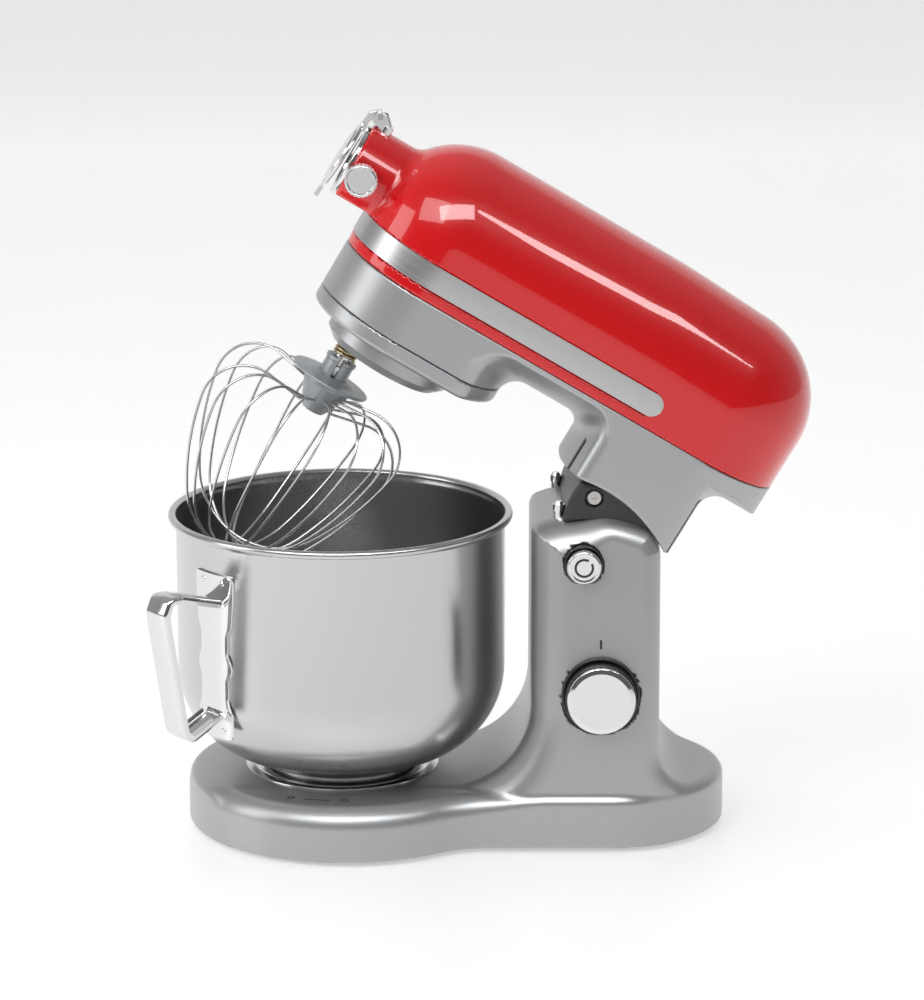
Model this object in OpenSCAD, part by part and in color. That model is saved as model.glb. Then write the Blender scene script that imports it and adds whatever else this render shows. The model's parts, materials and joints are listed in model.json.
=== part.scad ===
// Kitchen stand mixer: tilting head, planetary whisk drive, front power outlet,
// lift-off steel bowl. Front is -X, controls are on -Y, up is +Z, the feet rest on Z = 0.

/* [Frame] */
// Bowl axis from the middle of the footprint
bowl_x = -95; // [-110:0.5:-70]
// Head tilt, 0 is the working position
tilt = 30.5; // [0:0.5:30.5]
// Hinge pin behind the bowl axis
hinge_x = 196; // [180:0.5:205]
// Hinge pin above the table
hinge_z = 212; // [200:0.5:225]

/* [Base] */
// Radius of the round front of the base
lobe_r = 108; // [100:1:116]
// Radius of the round back of the base
tail_r = 79; // [70:1:84]
// Top of the base
base_h = 38; // [34:0.5:44]
// Rounding of the upper edge
base_edge = 14; // [6:1:20]
// Concave radius between front and waist
waist_r = 60; // [40:1:80]
// Wall of the castings
wall = 4; // [3:0.5:6]
// Height of the rubber feet
foot_h = 3; // [2:0.5:5]

/* [Column] */
// Front face behind the bowl axis
col_front = 126; // [120:0.5:134]
// Rear face behind the bowl axis
col_rear = 210.5; // [204:0.5:216]
// Half width at the table
col_half = 80; // [74:1:84]
// Half width at the top
col_top_half = 62.5; // [56:0.5:66]
// Front corner radius
col_corner = 26; // [16:1:30]
// Rear corner radius
col_corner_rear = 12; // [8:1:16]
// Sweep from base to front face
sweep_r = 57; // [45:1:65]
// Sweep from base to rear face
sweep_rear_r = 30; // [20:1:34]
// Radius of the arched top
saddle_r = 88; // [84:0.5:91]

/* [Controls] */
// Height of the speed knob
knob_z = 106; // [95:0.5:115]
// Speed knob behind the bowl axis
knob_x = 171.5; // [165:0.5:178]
// Speed knob cap radius
knob_r = 22.6; // [18:0.1:25]
// Height of the release button
button_z = 193; // [185:0.5:198]
// Release button behind the bowl axis
button_x = 160; // [155:0.5:170]
// Release button radius
button_r = 11.4; // [9:0.1:13]
// Knob seat from the middle plane
control_y = 71; // [69:0.5:73]
// Button guide from the middle plane
button_y = 67; // [65:0.5:69]

/* [Bowl] */
// Outer radius of the bowl wall
bowl_r = 109.5; // [104:0.5:112]
// Outer radius of the rolled rim
rim_r = 114.7; // [108:0.1:116]
// Top of the rim above the table
rim_z = 214.4; // [205:0.2:216]
// Underside of the bowl above the table
bowl_floor = 46; // [44:0.5:52]
// Radius from wall to floor
bowl_knee = 62; // [50:1:70]
// Sheet thickness
bowl_wall = 0.9; // [0.6:0.1:1.5]
// Foot ring outer radius
foot_ring_r = 53; // [48:0.5:56]
// Handle direction from the front toward the controls
handle_turn = 43; // [30:1:60]
// Reach of the handle from the bowl axis
handle_reach = 159; // [150:1:165]
// Width of the handle strap
handle_w = 21; // [16:1:26]

/* [Head] */
// Half width of the head
head_r = 60; // [56:0.5:62]
// Centre of the rounded nose
nose_x = -1; // [-5:0.5:3]
// Centre of the rounded back
back_x = 203.5; // [195:0.5:206]
// Height where the dome starts to curve
dome_z = 311.5; // [305:0.5:315]
// Parting line between cover and chassis
part_z = 274.5; // [270:0.5:280]
// Seam of the gearbox cover
seam_z = 241.5; // [238:0.5:246]
// Underside of the gearbox cover
belly_z = 230; // [228:0.5:234]
// Underside of the neck
neck_z = 251.5; // [248:0.5:256]
// Cover wall
skin = 3; // [2:0.5:4]
// Lower edge of the trim band
band_z = 282; // [278:0.5:286]
// Height of the trim band
band_h = 16; // [12:0.5:20]
// Rear end of the trim band
band_end = 166; // [150:1:180]
// Radius of the arched underside, which clears the column
arch_r = 95; // [92:0.5:98]

/* [Outlet] */
// Height of the outlet axis
outlet_z = 320.4; // [316:0.2:324]
// Outlet neck radius
outlet_neck_r = 27.5; // [24:0.5:30]
// Outlet bore radius
outlet_bore_r = 19; // [16:0.5:21]
// Front face of the outlet ring
outlet_x = -87; // [-92:0.5:-82]

/* [Drive] */
// Planet gear module
planet_m = 1.5; // [1.25:0.25:2]
// Ring gear teeth
ring_teeth = 44; // [40:4:48]
// Planet gear teeth
planet_teeth = 12; // [12:4:16]
// Main gear teeth
main_teeth = 60; // [48:12:72]
// Idler pinion teeth
pinion_teeth = 12; // [12:4:16]
// Idler gear teeth
idler_teeth = 48; // [36:12:60]
// Idler stage module
idler_m = 1.25; // [1:0.25:1.5]
// Carrier radius
carrier_r = 44; // [42:0.5:46]
// Tool shaft radius
tool_r = 6; // [5:0.5:7]
// Radial gap of running fits
run_gap = 0.05; // [0.02:0.01:0.1]

/* [Whisk] */
// Wire radius
wire_r = 0.9; // [0.7:0.1:1.2]
// Number of wire loops
loops = 8; // [6:1:9]
// Shoulder radius of a loop
shoulder_r = 28; // [24:1:32]
// Side radius of a loop
side_r = 180; // [160:1:200]
// Drip collar radius
collar_r = 28; // [24:1:30]
// Height of the drip collar
collar_z = 186; // [184:0.5:190]

/* [Hidden] */
$fn = 96;
eps = 0.01;
orbit_r = planet_m * (ring_teeth - planet_teeth) / 2;
tool_x = -orbit_r;
idler_x = planet_m * (main_teeth + pinion_teeth) / 2;
motor_x = idler_x + idler_m * (idler_teeth + pinion_teeth) / 2;
saddle_x = 164;
saddle_z = 134;
arch_x = 163;
arch_z = 130.5;
arch_gap = 0.6;
tilt_open = 30.5;
open_x = hinge_x + (arch_x - hinge_x) * cos(tilt_open) + (arch_z - hinge_z) * sin(tilt_open);
open_z = hinge_z - (arch_x - hinge_x) * sin(tilt_open) + (arch_z - hinge_z) * cos(tilt_open);
bay_z = 249;
post_turn = 45;
lobe_x = 5;
tail_x = 256.5 - tail_r;
waist_x = lobe_x + sqrt(pow(lobe_r + waist_r, 2) - pow(col_half + waist_r, 2));
col_top = 226;
lean = atan((col_half - col_top_half) / col_top);
tail_edge = 6;
ear_r = 10.2;
belly_r = 82;
belly_x = -7;
scoop_r = 29;
scoop_x = 256;
scoop_z = 218;
cheek_r = 169;
tail_plan_r = 185;
tail_plan_x = 41.5;
neck_r = 102;
tongue_r = 97;
wire_sides = 8;
wire_in = 27;
outlet_depth = 21;

/* Placing */
module at_bowl()
    translate([bowl_x, 0, 0])
        children();

module in_head()
    translate([bowl_x + hinge_x, 0, hinge_z])
        rotate([0, tilt, 0])
            translate([-hinge_x, 0, -hinge_z])
                children();

module along_y(y0, len)
    translate([0, y0 + len, 0])
        rotate([90, 0, 0])
            linear_extrude(height = len)
                children();

module along_x(x0, len)
    translate([x0, 0, 0])
        rotate([90, 0, 90])
            linear_extrude(height = len)
                children();

module disc_y(x, y, z, r, h)
    translate([x, y, z])
        rotate([-90, 0, 0])
            cylinder(r = r, h = h);

module disc_x(x, y, z, r, h)
    translate([x, y, z])
        rotate([0, 90, 0])
            cylinder(r = r, h = h);

module both_sides() {
    children();
    mirror([0, 1, 0])
        children();
}

/* Stand */
module rounded_step(r, h, e) {
    square([r - e, h]);
    square([r, h - e]);
    translate([r - e, h - e])
        intersection() {
            circle(r = e);
            square([e, e]);
        }
}

module base_plan(inset = 0) {
    translate([lobe_x, 0])
        circle(r = lobe_r - inset);
    translate([tail_x, 0])
        circle(r = tail_r - inset);
    translate([lobe_x, -tail_r + inset])
        square([tail_x - lobe_x, 2 * (tail_r - inset)]);
}

module waist_fill(side)
    difference() {
        translate([50, side > 0 ? 60 : -94.8, foot_h])
            cube([waist_x - 50, 34.8, base_h - foot_h]);
        translate([waist_x, side * (col_half + waist_r), 0])
            rotate_extrude()
                difference() {
                    square([waist_r + base_edge, base_h + 1]);
                    translate([waist_r, 0])
                        square([base_edge + 1, base_h - base_edge]);
                    translate([waist_r + base_edge, base_h - base_edge])
                        circle(r = base_edge);
                }
    }

module column_sides(inset)
    polygon([[inset - col_half, 0], [col_half - inset, 0], [col_top_half - inset, col_top],
        [inset - col_top_half, col_top]]);

module column_post(x, r)
    both_sides()
        translate([x, col_half - r - 0.1, 0])
            rotate([lean, 0, 0])
                cylinder(r = r, h = col_top + 10);

module column_body()
    intersection() {
        along_y(-90, 180)
            union() {
                translate([col_front, foot_h])
                    square([col_rear - col_front, saddle_z - foot_h]);
                intersection() {
                    translate([col_front, saddle_z - 1])
                        square([col_rear - col_front, 100]);
                    translate([saddle_x, saddle_z])
                        circle(r = saddle_r);
                    translate([open_x, open_z])
                        circle(r = arch_r - arch_gap);
                }
            }
        union() {
            along_x(col_front + col_corner, col_rear - col_front - col_corner - col_corner_rear)
                column_sides(0);
            along_x(col_front, col_corner + 10)
                column_sides(col_corner);
            along_x(col_rear - col_corner_rear - 10, col_corner_rear + 10)
                column_sides(col_corner_rear);
            column_post(col_front + col_corner, col_corner);
            column_post(col_rear - col_corner_rear, col_corner_rear);
        }
    }

module sweep_half()
    difference() {
        square([col_corner + sweep_r, base_h + sweep_r - foot_h]);
        translate([col_corner + sweep_r, base_h + sweep_r - foot_h])
            circle(r = sweep_r);
    }

module sweep_front() {
    flank = col_half - col_corner - 6;
    translate([col_front + col_corner, 0, foot_h]) {
        mirror([1, 0, 0])
            along_y(-flank, 2 * flank)
                sweep_half();
        for (y = [-flank, flank])
            translate([0, y, 0])
                rotate([0, 0, 90])
                    rotate_extrude(angle = 180)
                        sweep_half();
    }
}

module sweep_rear()
    difference() {
        translate([col_rear - 20, -tail_r, foot_h])
            cube([20 + sweep_rear_r, 2 * tail_r, base_h + sweep_rear_r - foot_h]);
        along_y(-100, 200)
            translate([col_rear + sweep_rear_r, base_h + sweep_rear_r])
                circle(r = sweep_rear_r);
    }

module stand_outer() {
    translate([lobe_x, 0, foot_h])
        rotate_extrude()
            rounded_step(lobe_r, base_h - foot_h, base_edge);
    translate([tail_x, 0, foot_h])
        rotate_extrude()
            rounded_step(tail_r, base_h - foot_h, tail_edge);
    along_x(lobe_x, tail_x - lobe_x)
        translate([0, foot_h])
            union() {
                rounded_step(tail_r, base_h - foot_h, tail_edge);
                mirror([1, 0])
                    rounded_step(tail_r, base_h - foot_h, tail_edge);
            }
    waist_fill(1);
    waist_fill(-1);
    column_body();
    intersection() {
        union() {
            sweep_front();
            sweep_rear();
        }
        along_x(0, 260)
            column_sides(0);
        translate([0, 0, foot_h])
            linear_extrude(height = 120)
                union() {
                    translate([tail_x, 0])
                        circle(r = tail_r - 0.5);
                    translate([20, 0.5 - tail_r])
                        square([tail_x - 20, 2 * tail_r - 1]);
                }
    }
}

module column_hollow()
    intersection() {
        translate([0, 0, -1])
            union() {
                along_x(col_front + col_corner, col_rear - col_front - col_corner - wall)
                    column_sides(wall + 2);
                along_x(col_front + wall + 1, col_corner)
                    column_sides(col_corner);
            }
        translate([0, -100, -1])
            cube([300, 200, 205]);
    }

module ear_slots(reach)
    both_sides()
        along_y(25.5, 9)
            union() {
                translate([hinge_x, hinge_z])
                    circle(r = ear_r + 1.2);
                translate([hinge_x - ear_r - 1.2, hinge_z])
                    square([reach, 50]);
            }

module stand_casting()
    color("silver")
        at_bowl()
            difference() {
                stand_outer();
                translate([0, 0, -1])
                    linear_extrude(height = base_h - wall)
                        base_plan(wall + 1);
                column_hollow();
                disc_y(knob_x, -90, knob_z, 16, 30);
                disc_y(button_x, -90, button_z, 12.9, 40);
                disc_y(knob_x, -control_y - 10, knob_z, 26, 11);
                disc_x(236, 50, 18, 7, 40);
                disc_x(241.9, 50, 18, 9.3, 20);
                translate([0, 0, base_h - 5])
                    cylinder(r = 60, h = 6);
                for (a = [45 : 90 : 315])
                    rotate([0, 0, a])
                        translate([36, 0, base_h - 8])
                            cylinder(r = 2.1, h = 6);
                ear_slots(col_rear - wall - hinge_x + ear_r + 1.2);
                disc_y(hinge_x, -51, hinge_z, 5, 102);
                translate([168, 0, 196])
                    cylinder(r = 5, h = 40);
                for (y = [-40, 40])
                    translate([144, y, 212])
                        cylinder(r = 3.5, h = 20);
            }

module foot_at()
    for (p = [[-68, 52], [-68, -52], [52, 70], [52, -70], [225, 38], [225, -38]])
        translate([p[0], p[1], 0])
            children();

module screw_at()
    for (p = [[-40, 0], [85, 50], [85, -50], [190, 52], [190, -52]])
        translate([p[0], p[1], 0])
            children();

module base_cover()
    color("dimgray")
        at_bowl()
            difference() {
                translate([0, 0, foot_h])
                    linear_extrude(height = 2.5)
                        base_plan(wall + 1.3);
                foot_at()
                    translate([0, 0, -1])
                        cylinder(r = 4, h = 9);
                screw_at()
                    cylinder(r = 2.2, h = 9);
            }

module base_feet()
    color("black")
        at_bowl()
            foot_at() {
                cylinder(r1 = 10, r2 = 11, h = foot_h);
                translate([0, 0, foot_h - eps])
                    cylinder(r = 4, h = 3.2);
                translate([0, 0, foot_h + 2.6])
                    cylinder(r = 6, h = 1.4);
            }

module pan_screw(r, head, len) {
    difference() {
        cylinder(r = head, h = 1.6);
        translate([0, 0, -1])
            for (a = [0, 90])
                rotate([0, 0, a])
                    translate([-r * 0.9, -0.35, 0])
                        cube([1.8 * r, 0.7, 1.8]);
    }
    translate([0, 0, 1.5])
        cylinder(r = r, h = len);
}

module base_screws()
    color("gray")
        at_bowl()
            screw_at()
                translate([0, 0, foot_h - 1.7])
                    pan_screw(2, 4, 8);

module bowl_seat()
    color("lightgray")
        at_bowl()
            difference() {
                translate([0, 0, base_h - 5])
                    rotate_extrude()
                        union() {
                            square([59.6, 2]);
                            translate([57, 0])
                                square([2.6, 5.1]);
                            translate([57, 5])
                                square([8, 1.6]);
                        }
                for (a = [45 : 90 : 315])
                    rotate([0, 0, a])
                        translate([36, 0, base_h - 8])
                            cylinder(r = 2.1, h = 6);
            }

module seat_screws()
    color("gray")
        at_bowl()
            for (a = [45 : 90 : 315])
                rotate([0, 0, a])
                    translate([36, 0, base_h - 1.4])
                        mirror([0, 0, 1])
                            pan_screw(2, 4, 6);

module lock_marks()
    color("darkgray")
        at_bowl()
            for (a = [0, 1, 2])
                rotate([0, 0, -112 + 12.3 * a])
                    translate([84, 0, base_h])
                        if (a == 1)
                            translate([-0.4, -9, 0])
                                cube([0.8, 18, 0.2]);
                        else
                            difference() {
                                cylinder(r = 2.6, h = 0.2);
                                translate([0, 0, -1])
                                    cylinder(r = 1.8, h = 2);
                            }

/* Hinge and controls */
module block_outline()
    difference() {
        polygon([[140, 180], [140, 243], [158, 246], [180, 240], [196, 231], [205, 222], [206, 180]]);
        translate([saddle_x, saddle_z])
            circle(r = saddle_r + 0.1);
    }

module hinge_block()
    color("darkslategray")
        at_bowl()
            difference() {
                union() {
                    along_y(-52, 104)
                        intersection() {
                            block_outline();
                            translate([hinge_x, hinge_z])
                                circle(r = 50);
                        }
                    translate([168, 0, 205])
                        cylinder(r = 4.9, h = 30);
                }
                ear_slots(60);
                disc_y(167, -53, 234, 6, 4);
                disc_y(167, 49, 234, 6, 4);
                disc_y(hinge_x, -60, hinge_z, 5.0, 120);
                for (y = [-40, 40])
                    translate([144, y, 205])
                        cylinder(r = 4.4, h = 45);
            }

module hinge_screws()
    color("gray")
        at_bowl()
            both_sides()
                translate([167, -50.7, 234])
                    rotate([-90, 0, 0])
                        pan_screw(2, 4.4, 0.2);

module hinge_pin()
    color("lightgray")
        at_bowl()
            disc_y(hinge_x, -50, hinge_z, 4.95, 100);

module latch_studs()
    color("silver")
        at_bowl()
            for (y = [-40, 40])
                translate([144, y, 212.5]) {
                    cylinder(r = 3.4, h = 11);
                    translate([0, 0, 10.9])
                        cylinder(r = 4, h = 4);
                    translate([0, 0, 14.8])
                        cylinder(r1 = 3.2, r2 = 2.2, h = 2);
                }

module knob_bezel()
    color("dimgray")
        at_bowl()
            difference() {
                disc_y(knob_x, -control_y - 2.4, knob_z, 25.9, 3.4);
                disc_y(knob_x, -control_y - 3, knob_z, 24, 2.4);
                disc_y(knob_x, -90, knob_z, 5, 60);
            }

module speed_mark()
    color("black")
        at_bowl()
            intersection() {
                translate([knob_x - 0.7, -80, knob_z + 31])
                    cube([1.4, 20, 6]);
                difference() {
                    along_x(knob_x - 5, 10)
                        column_sides(-0.3);
                    along_x(knob_x - 6, 12)
                        column_sides(0);
                }
            }

module button_bezel()
    color("dimgray")
        at_bowl()
            difference() {
                disc_y(button_x, -button_y - 0.5, button_z, 12.8, 9.5);
                disc_y(button_x, -button_y - 1, button_z, 11.8, 8);
                disc_y(button_x, -90, button_z, 5.3, 60);
            }

module speed_board()
    color("green")
        at_bowl()
            translate([knob_x - 19, -56, 80])
                cube([43, 1.6, 60]);

module speed_switch()
    color("black")
        at_bowl() {
            difference() {
                disc_y(knob_x, -63, knob_z, 11, 7);
                disc_y(knob_x, -64, knob_z, 3.05, 6);
            }
            translate([knob_x - 15, -54.4, 84])
                cube([30, 12, 12]);
        }

module cord_gland()
    color("black")
        at_bowl()
            difference() {
                union() {
                    disc_x(236, 50, 18, 6.9, 16);
                    disc_x(242, 50, 18, 9, 4);
                }
                disc_x(230, 50, 18, 3.6, 40);
            }

module speed_knob()
    color("dimgray")
        at_bowl() {
            difference() {
                disc_y(knob_x, -control_y - 13, knob_z, 23.4, 12);
                disc_y(knob_x, -control_y - 14, knob_z, knob_r - 1, 2.2);
            }
            disc_y(knob_x, -control_y - 3, knob_z, 4.9, 6);
            disc_y(knob_x, -control_y + 2.9, knob_z, 3, 9);
        }

module knob_cap()
    color("silver")
        at_bowl()
            difference() {
                union() {
                    disc_y(knob_x, -control_y - 13.6, knob_z, knob_r - 1, 1.8);
                    translate([knob_x, -control_y - 13, knob_z])
                        rotate([90, 0, 0])
                            cylinder(r1 = knob_r, r2 = knob_r - 1.6, h = 3);
                }
                translate([knob_x - 0.4, -control_y - 17, knob_z + knob_r - 6])
                    cube([0.8, 2, 4.4]);
            }

module release_button()
    color("silver")
        at_bowl()
            difference() {
                union() {
                    disc_y(button_x, -button_y - 6.5, button_z, button_r, 7);
                    translate([button_x, -button_y - 6.4, button_z])
                        rotate([90, 0, 0])
                            cylinder(r1 = button_r, r2 = button_r - 1.4, h = 1.5);
                }
                difference() {
                    disc_y(button_x, -button_y - 9, button_z, 6.4, 1.8);
                    disc_y(button_x, -button_y - 10, button_z, 5, 4);
                    translate([button_x, -button_y - 10, button_z])
                        cube([8, 4, 8]);
                }
            }

module button_plunger()
    color("white")
        at_bowl()
            difference() {
                disc_y(button_x, -button_y + 0.5, button_z, 5, 24.5);
                translate([button_x + 3, -button_y + 20, button_z - 6])
                    rotate([0, 0, -45])
                        cube([10, 5, 12]);
            }

module button_spring()
    color("gray")
        at_bowl()
            for (k = [0 : 2])
                translate([button_x, -button_y + 1.1 + 1.1 * k, button_z])
                    rotate([90, 0, 0])
                        rotate_extrude()
                            translate([6.4, 0])
                                circle(r = 0.5, $fn = 24);

module lock_bolt()
    color("gray")
        at_bowl() {
            translate([button_x + 9, -46, button_z - 5])
                cube([8, 20, 10]);
            translate([button_x + 16.9, -34, button_z])
                cube([12, 8, 9]);
        }

/* Head, drawn level */
module dome_half() {
    difference() {
        union() {
            translate([0, part_z])
                square([head_r, dome_z - part_z]);
            intersection() {
                translate([0, dome_z])
                    circle(r = head_r);
                translate([0, dome_z])
                    square([head_r, head_r]);
            }
        }
        translate([-1, part_z - 1])
            square([head_r - skin + 1, dome_z - part_z + 1]);
        translate([0, dome_z])
            circle(r = head_r - skin);
    }
}

module nose_turn()
    translate([nose_x, 0, 0])
        rotate([0, 0, 90])
            rotate_extrude(angle = 180)
                children();

module back_turn()
    translate([back_x, 0, 0])
        rotate([0, 0, -90])
            rotate_extrude(angle = 180)
                children();

module band_solid(out, low, high, end) {
    nose_turn()
        translate([head_r - 0.8, low])
            square([out, high - low]);
    for (y = [-head_r + 0.8 - out, head_r - 0.8])
        along_y(y, out) {
            translate([nose_x, low])
                square([end - nose_x, high - low]);
            translate([end, (low + high) / 2])
                circle(r = (high - low) / 2);
        }
}

module head_cover()
    color("crimson")
        in_head()
            difference() {
                union() {
                    nose_turn()
                        dome_half();
                    back_turn()
                        dome_half();
                    along_x(nose_x, back_x - nose_x)
                        union() {
                            dome_half();
                            mirror([1, 0])
                                dome_half();
                        }
                    difference() {
                        disc_x(outlet_x + 3, 0, outlet_z, outlet_neck_r, 60);
                        translate([nose_x, 0, dome_z])
                            sphere(r = head_r - skin + 0.5);
                    }
                }
                disc_x(outlet_x - 5, 0, outlet_z, outlet_bore_r + 3, 70);
                translate([-75, -29, outlet_z - 3])
                    rotate([90, 0, 0])
                        translate([0, 0, -12])
                            cylinder(r = 3.4, h = 20);
                band_solid(2, band_z - 0.1, band_z + band_h + 0.1, band_end - band_h / 2);
            }

module trim_band()
    color("lightgray")
        in_head()
            band_solid(1.3, band_z, band_z + band_h, band_end - band_h / 2);

module stadium(r) {
    translate([nose_x, 0])
        circle(r = r);
    translate([back_x, 0])
        circle(r = r);
    translate([nose_x, -r])
        square([back_x - nose_x, 2 * r]);
}

module belly_plan(inset)
    intersection() {
        union() {
            translate([nose_x, 0])
                circle(r = head_r - inset);
            translate([nose_x, -head_r + inset])
                square([90, 2 * (head_r - inset)]);
        }
        translate([belly_x, 0])
            circle(r = belly_r - inset);
    }

module tail_side()
    difference() {
        translate([125, 196])
            square([back_x + head_r - 125, part_z - 196]);
        translate([arch_x, arch_z])
            circle(r = arch_r);
        translate([scoop_x, scoop_z])
            circle(r = scoop_r);
        translate([227, 190])
            square([60, 28]);
        translate([256, 189])
            square([40, 58]);
    }

module neck_arc(low)
    intersection() {
        translate([-head_r, low])
            square([2 * head_r, part_z - low]);
        translate([0, neck_z + neck_r])
            circle(r = neck_r);
    }

module head_chassis()
    color("silver")
        in_head()
            difference() {
                union() {
                    translate([0, 0, seam_z])
                        linear_extrude(height = part_z - seam_z)
                            belly_plan(0);
                    intersection() {
                        along_x(0, back_x + head_r)
                            neck_arc(neck_z - 1);
                        linear_extrude(height = 400)
                            stadium(head_r);
                    }
                    intersection() {
                        along_y(-head_r, 2 * head_r)
                            tail_side();
                        translate([0, 0, 190])
                            linear_extrude(height = part_z - 190)
                                intersection() {
                                    stadium(head_r);
                                    translate([131 + cheek_r, 0])
                                        circle(r = cheek_r);
                                }
                        union() {
                            translate([100, -70, 247])
                                cube([200, 140, 40]);
                            translate([tail_plan_x, 0, 190])
                                cylinder(r = tail_plan_r, h = 60);
                        }
                    }
                }
                translate([0, 0, seam_z - 1])
                    linear_extrude(height = 60)
                        belly_plan(skin + 1);
                intersection() {
                    translate([0, 0, 257])
                        linear_extrude(height = 40)
                            stadium(head_r - skin);
                    along_x(-80, 400)
                        translate([0, neck_z + neck_r])
                            circle(r = tongue_r);
                }
                along_y(-54, 108)
                    difference() {
                        translate([145, 190])
                            square([77, bay_z - 190]);
                        translate([scoop_x, scoop_z])
                            circle(r = scoop_r + 5);
                        translate([222, 190])
                            square([20, 28]);
                    }
                both_sides() {
                    translate([143.5, 40, 200])
                        cylinder(r = 7, h = 45);
                    translate([205, 45, bay_z - 4])
                        cylinder(r = 2.05, h = 30);
                }
            }

module gearbox_cover()
    color("silver")
        in_head()
            difference() {
                union() {
                    translate([0, 0, belly_z + 3])
                        linear_extrude(height = seam_z - belly_z - 3.4)
                            belly_plan(0);
                    translate([0, 0, belly_z])
                        linear_extrude(height = 3.1)
                            belly_plan(2);
                }
                translate([0, 0, belly_z + 4])
                    cylinder(r = 46, h = 20);
                translate([0, 0, belly_z - 1])
                    cylinder(r = carrier_r + 0.8, h = 20);
            }

module housing_screws()
    color("gray")
        in_head()
            both_sides() {
                translate([-12, 50, 262])
                    pan_screw(2, 3.6, 19);
                translate([205, 45, bay_z - 1.6])
                    pan_screw(2, 3.6, 20);
            }

module tilt_ears()
    color("gray")
        in_head()
            both_sides()
                difference() {
                    union() {
                        disc_y(hinge_x, 27, hinge_z, ear_r, 6);
                        translate([hinge_x - ear_r, 27, hinge_z])
                            cube([2 * ear_r, 6, 36.9]);
                        translate([hinge_x - ear_r, 15, 245])
                            cube([2 * ear_r, 12.1, 3.9]);
                    }
                    disc_y(hinge_x, 20, hinge_z, 7, 20);
                }

module tilt_bushes()
    color("goldenrod")
        in_head()
            both_sides()
                difference() {
                    disc_y(hinge_x, 26, hinge_z, 7, 8);
                    disc_y(hinge_x, 20, hinge_z, 4.95 + run_gap, 20);
                }

/* Motor and gearing, drawn level */
module spur_2d(n, m) {
    r = n * m / 2;
    circle(r = r - 1.2 * m);
    for (i = [0 : n - 1])
        rotate([0, 0, 360 * i / n])
            polygon([[r - 1.4 * m, -0.95 * m], [r, -0.66 * m], [r + 0.85 * m, -0.34 * m],
                [r + 0.85 * m, 0.34 * m], [r, 0.66 * m], [r - 1.4 * m, 0.95 * m]]);
}

module spur(n, m, h, bore)
    difference() {
        linear_extrude(height = h)
            spur_2d(n, m);
        translate([0, 0, -1])
            cylinder(r = bore, h = h + 2);
    }

module motor_stator()
    color("dimgray")
        in_head()
            translate([motor_x, 0, 292]) {
                difference() {
                    cylinder(r = 40, h = 42);
                    translate([0, 0, -1])
                        cylinder(r = 24, h = 44);
                }
                rotate([0, 0, post_turn]) {
                    for (x = [-32, 32])
                        translate([x, 0, -9])
                            cylinder(r = 4, h = 66);
                    difference() {
                        translate([-37.5, -8, 55])
                            cube([75, 16, 3]);
                        cylinder(r = 6, h = 80);
                    }
                }
            }

module brush_holders()
    color("peru")
        in_head()
            both_sides()
                translate([motor_x - 5, 15, 334])
                    cube([10, 18, 8]);

module motor_bearings()
    color("lightgray")
        in_head()
            for (z = [284.5, 350])
                translate([motor_x, 0, z])
                    difference() {
                        cylinder(r = 11, h = 6);
                        translate([0, 0, -1])
                            cylinder(r = 4 + run_gap, h = 9);
                    }

module gear_plate()
    color("gainsboro")
        in_head()
            difference() {
                union() {
                    translate([0, 0, 283])
                        linear_extrude(height = 5)
                            union() {
                                circle(r = 54);
                                translate([0, -40])
                                    square([motor_x + 30, 80]);
                            }
                    translate([-54, -16, 241.2])
                        cube([6, 32, 42]);
                    translate([motor_x + 20, -16, 258])
                        cube([8, 32, 25.2]);
                }
                translate([0, 0, 250])
                    cylinder(r = 7 + run_gap, h = 50);
                translate([idler_x, 0, 270])
                    cylinder(r = 4 + run_gap, h = 30);
                translate([motor_x, 0, 270])
                    cylinder(r = 11.3, h = 30);
                translate([motor_x, 0, 282])
                    rotate([0, 0, post_turn])
                        for (x = [-32, 32])
                            translate([x, 0, 0])
                                cylinder(r = 4.1, h = 10);
            }

module ring_gear()
    color("gainsboro")
        in_head() {
            r = planet_m * ring_teeth / 2;
            translate([0, 0, 235])
                linear_extrude(height = 8.1)
                    difference() {
                        circle(r = 45.5);
                        circle(r = r - 0.95 * planet_m);
                        for (i = [0 : ring_teeth - 1])
                            rotate([0, 0, 360 * i / ring_teeth])
                                polygon([[r - 1.2 * planet_m, -1.15 * planet_m], [r, -0.86 * planet_m],
                                    [r + 1.15 * planet_m, -0.5 * planet_m],
                                    [r + 1.15 * planet_m, 0.5 * planet_m],
                                    [r, 0.86 * planet_m], [r - 1.2 * planet_m, 1.15 * planet_m]]);
                    }
            translate([0, 0, 243])
                rotate_extrude()
                    union() {
                        translate([40, 0])
                            square([5.5, 8.5]);
                        translate([7 + run_gap, 4.5])
                            square([38, 4]);
                    }
        }

module outlet_ring()
    color("silver")
        in_head()
            difference() {
                union() {
                    disc_x(outlet_x, 0, outlet_z, 25.3, 3);
                    disc_x(outlet_x + 2.9, 0, outlet_z, outlet_bore_r + 2.9, 32);
                }
                disc_x(outlet_x - 1, 0, outlet_z, outlet_bore_r, 1 + outlet_depth);
                disc_x(outlet_x - 1, 0, outlet_z, 12 + run_gap, 40);
            }

module cover_hinge()
    color("silver")
        in_head()
            difference() {
                union() {
                    translate([-78.6, -7, outlet_z + outlet_neck_r - 2])
                        cube([7.6, 14, 6.5]);
                    for (y = [-7, 4])
                        translate([-88.5, y, outlet_z + 29.5])
                            cube([14, 3, 9]);
                }
                disc_y(-83, -10, outlet_z + 34.5, 1.8, 20);
                disc_x(outlet_x, 0, outlet_z, outlet_neck_r, 60);
            }

module cover_pin()
    color("lightgray")
        in_head()
            disc_y(-83, -8, outlet_z + 34.5, 1.75, 16);

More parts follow.
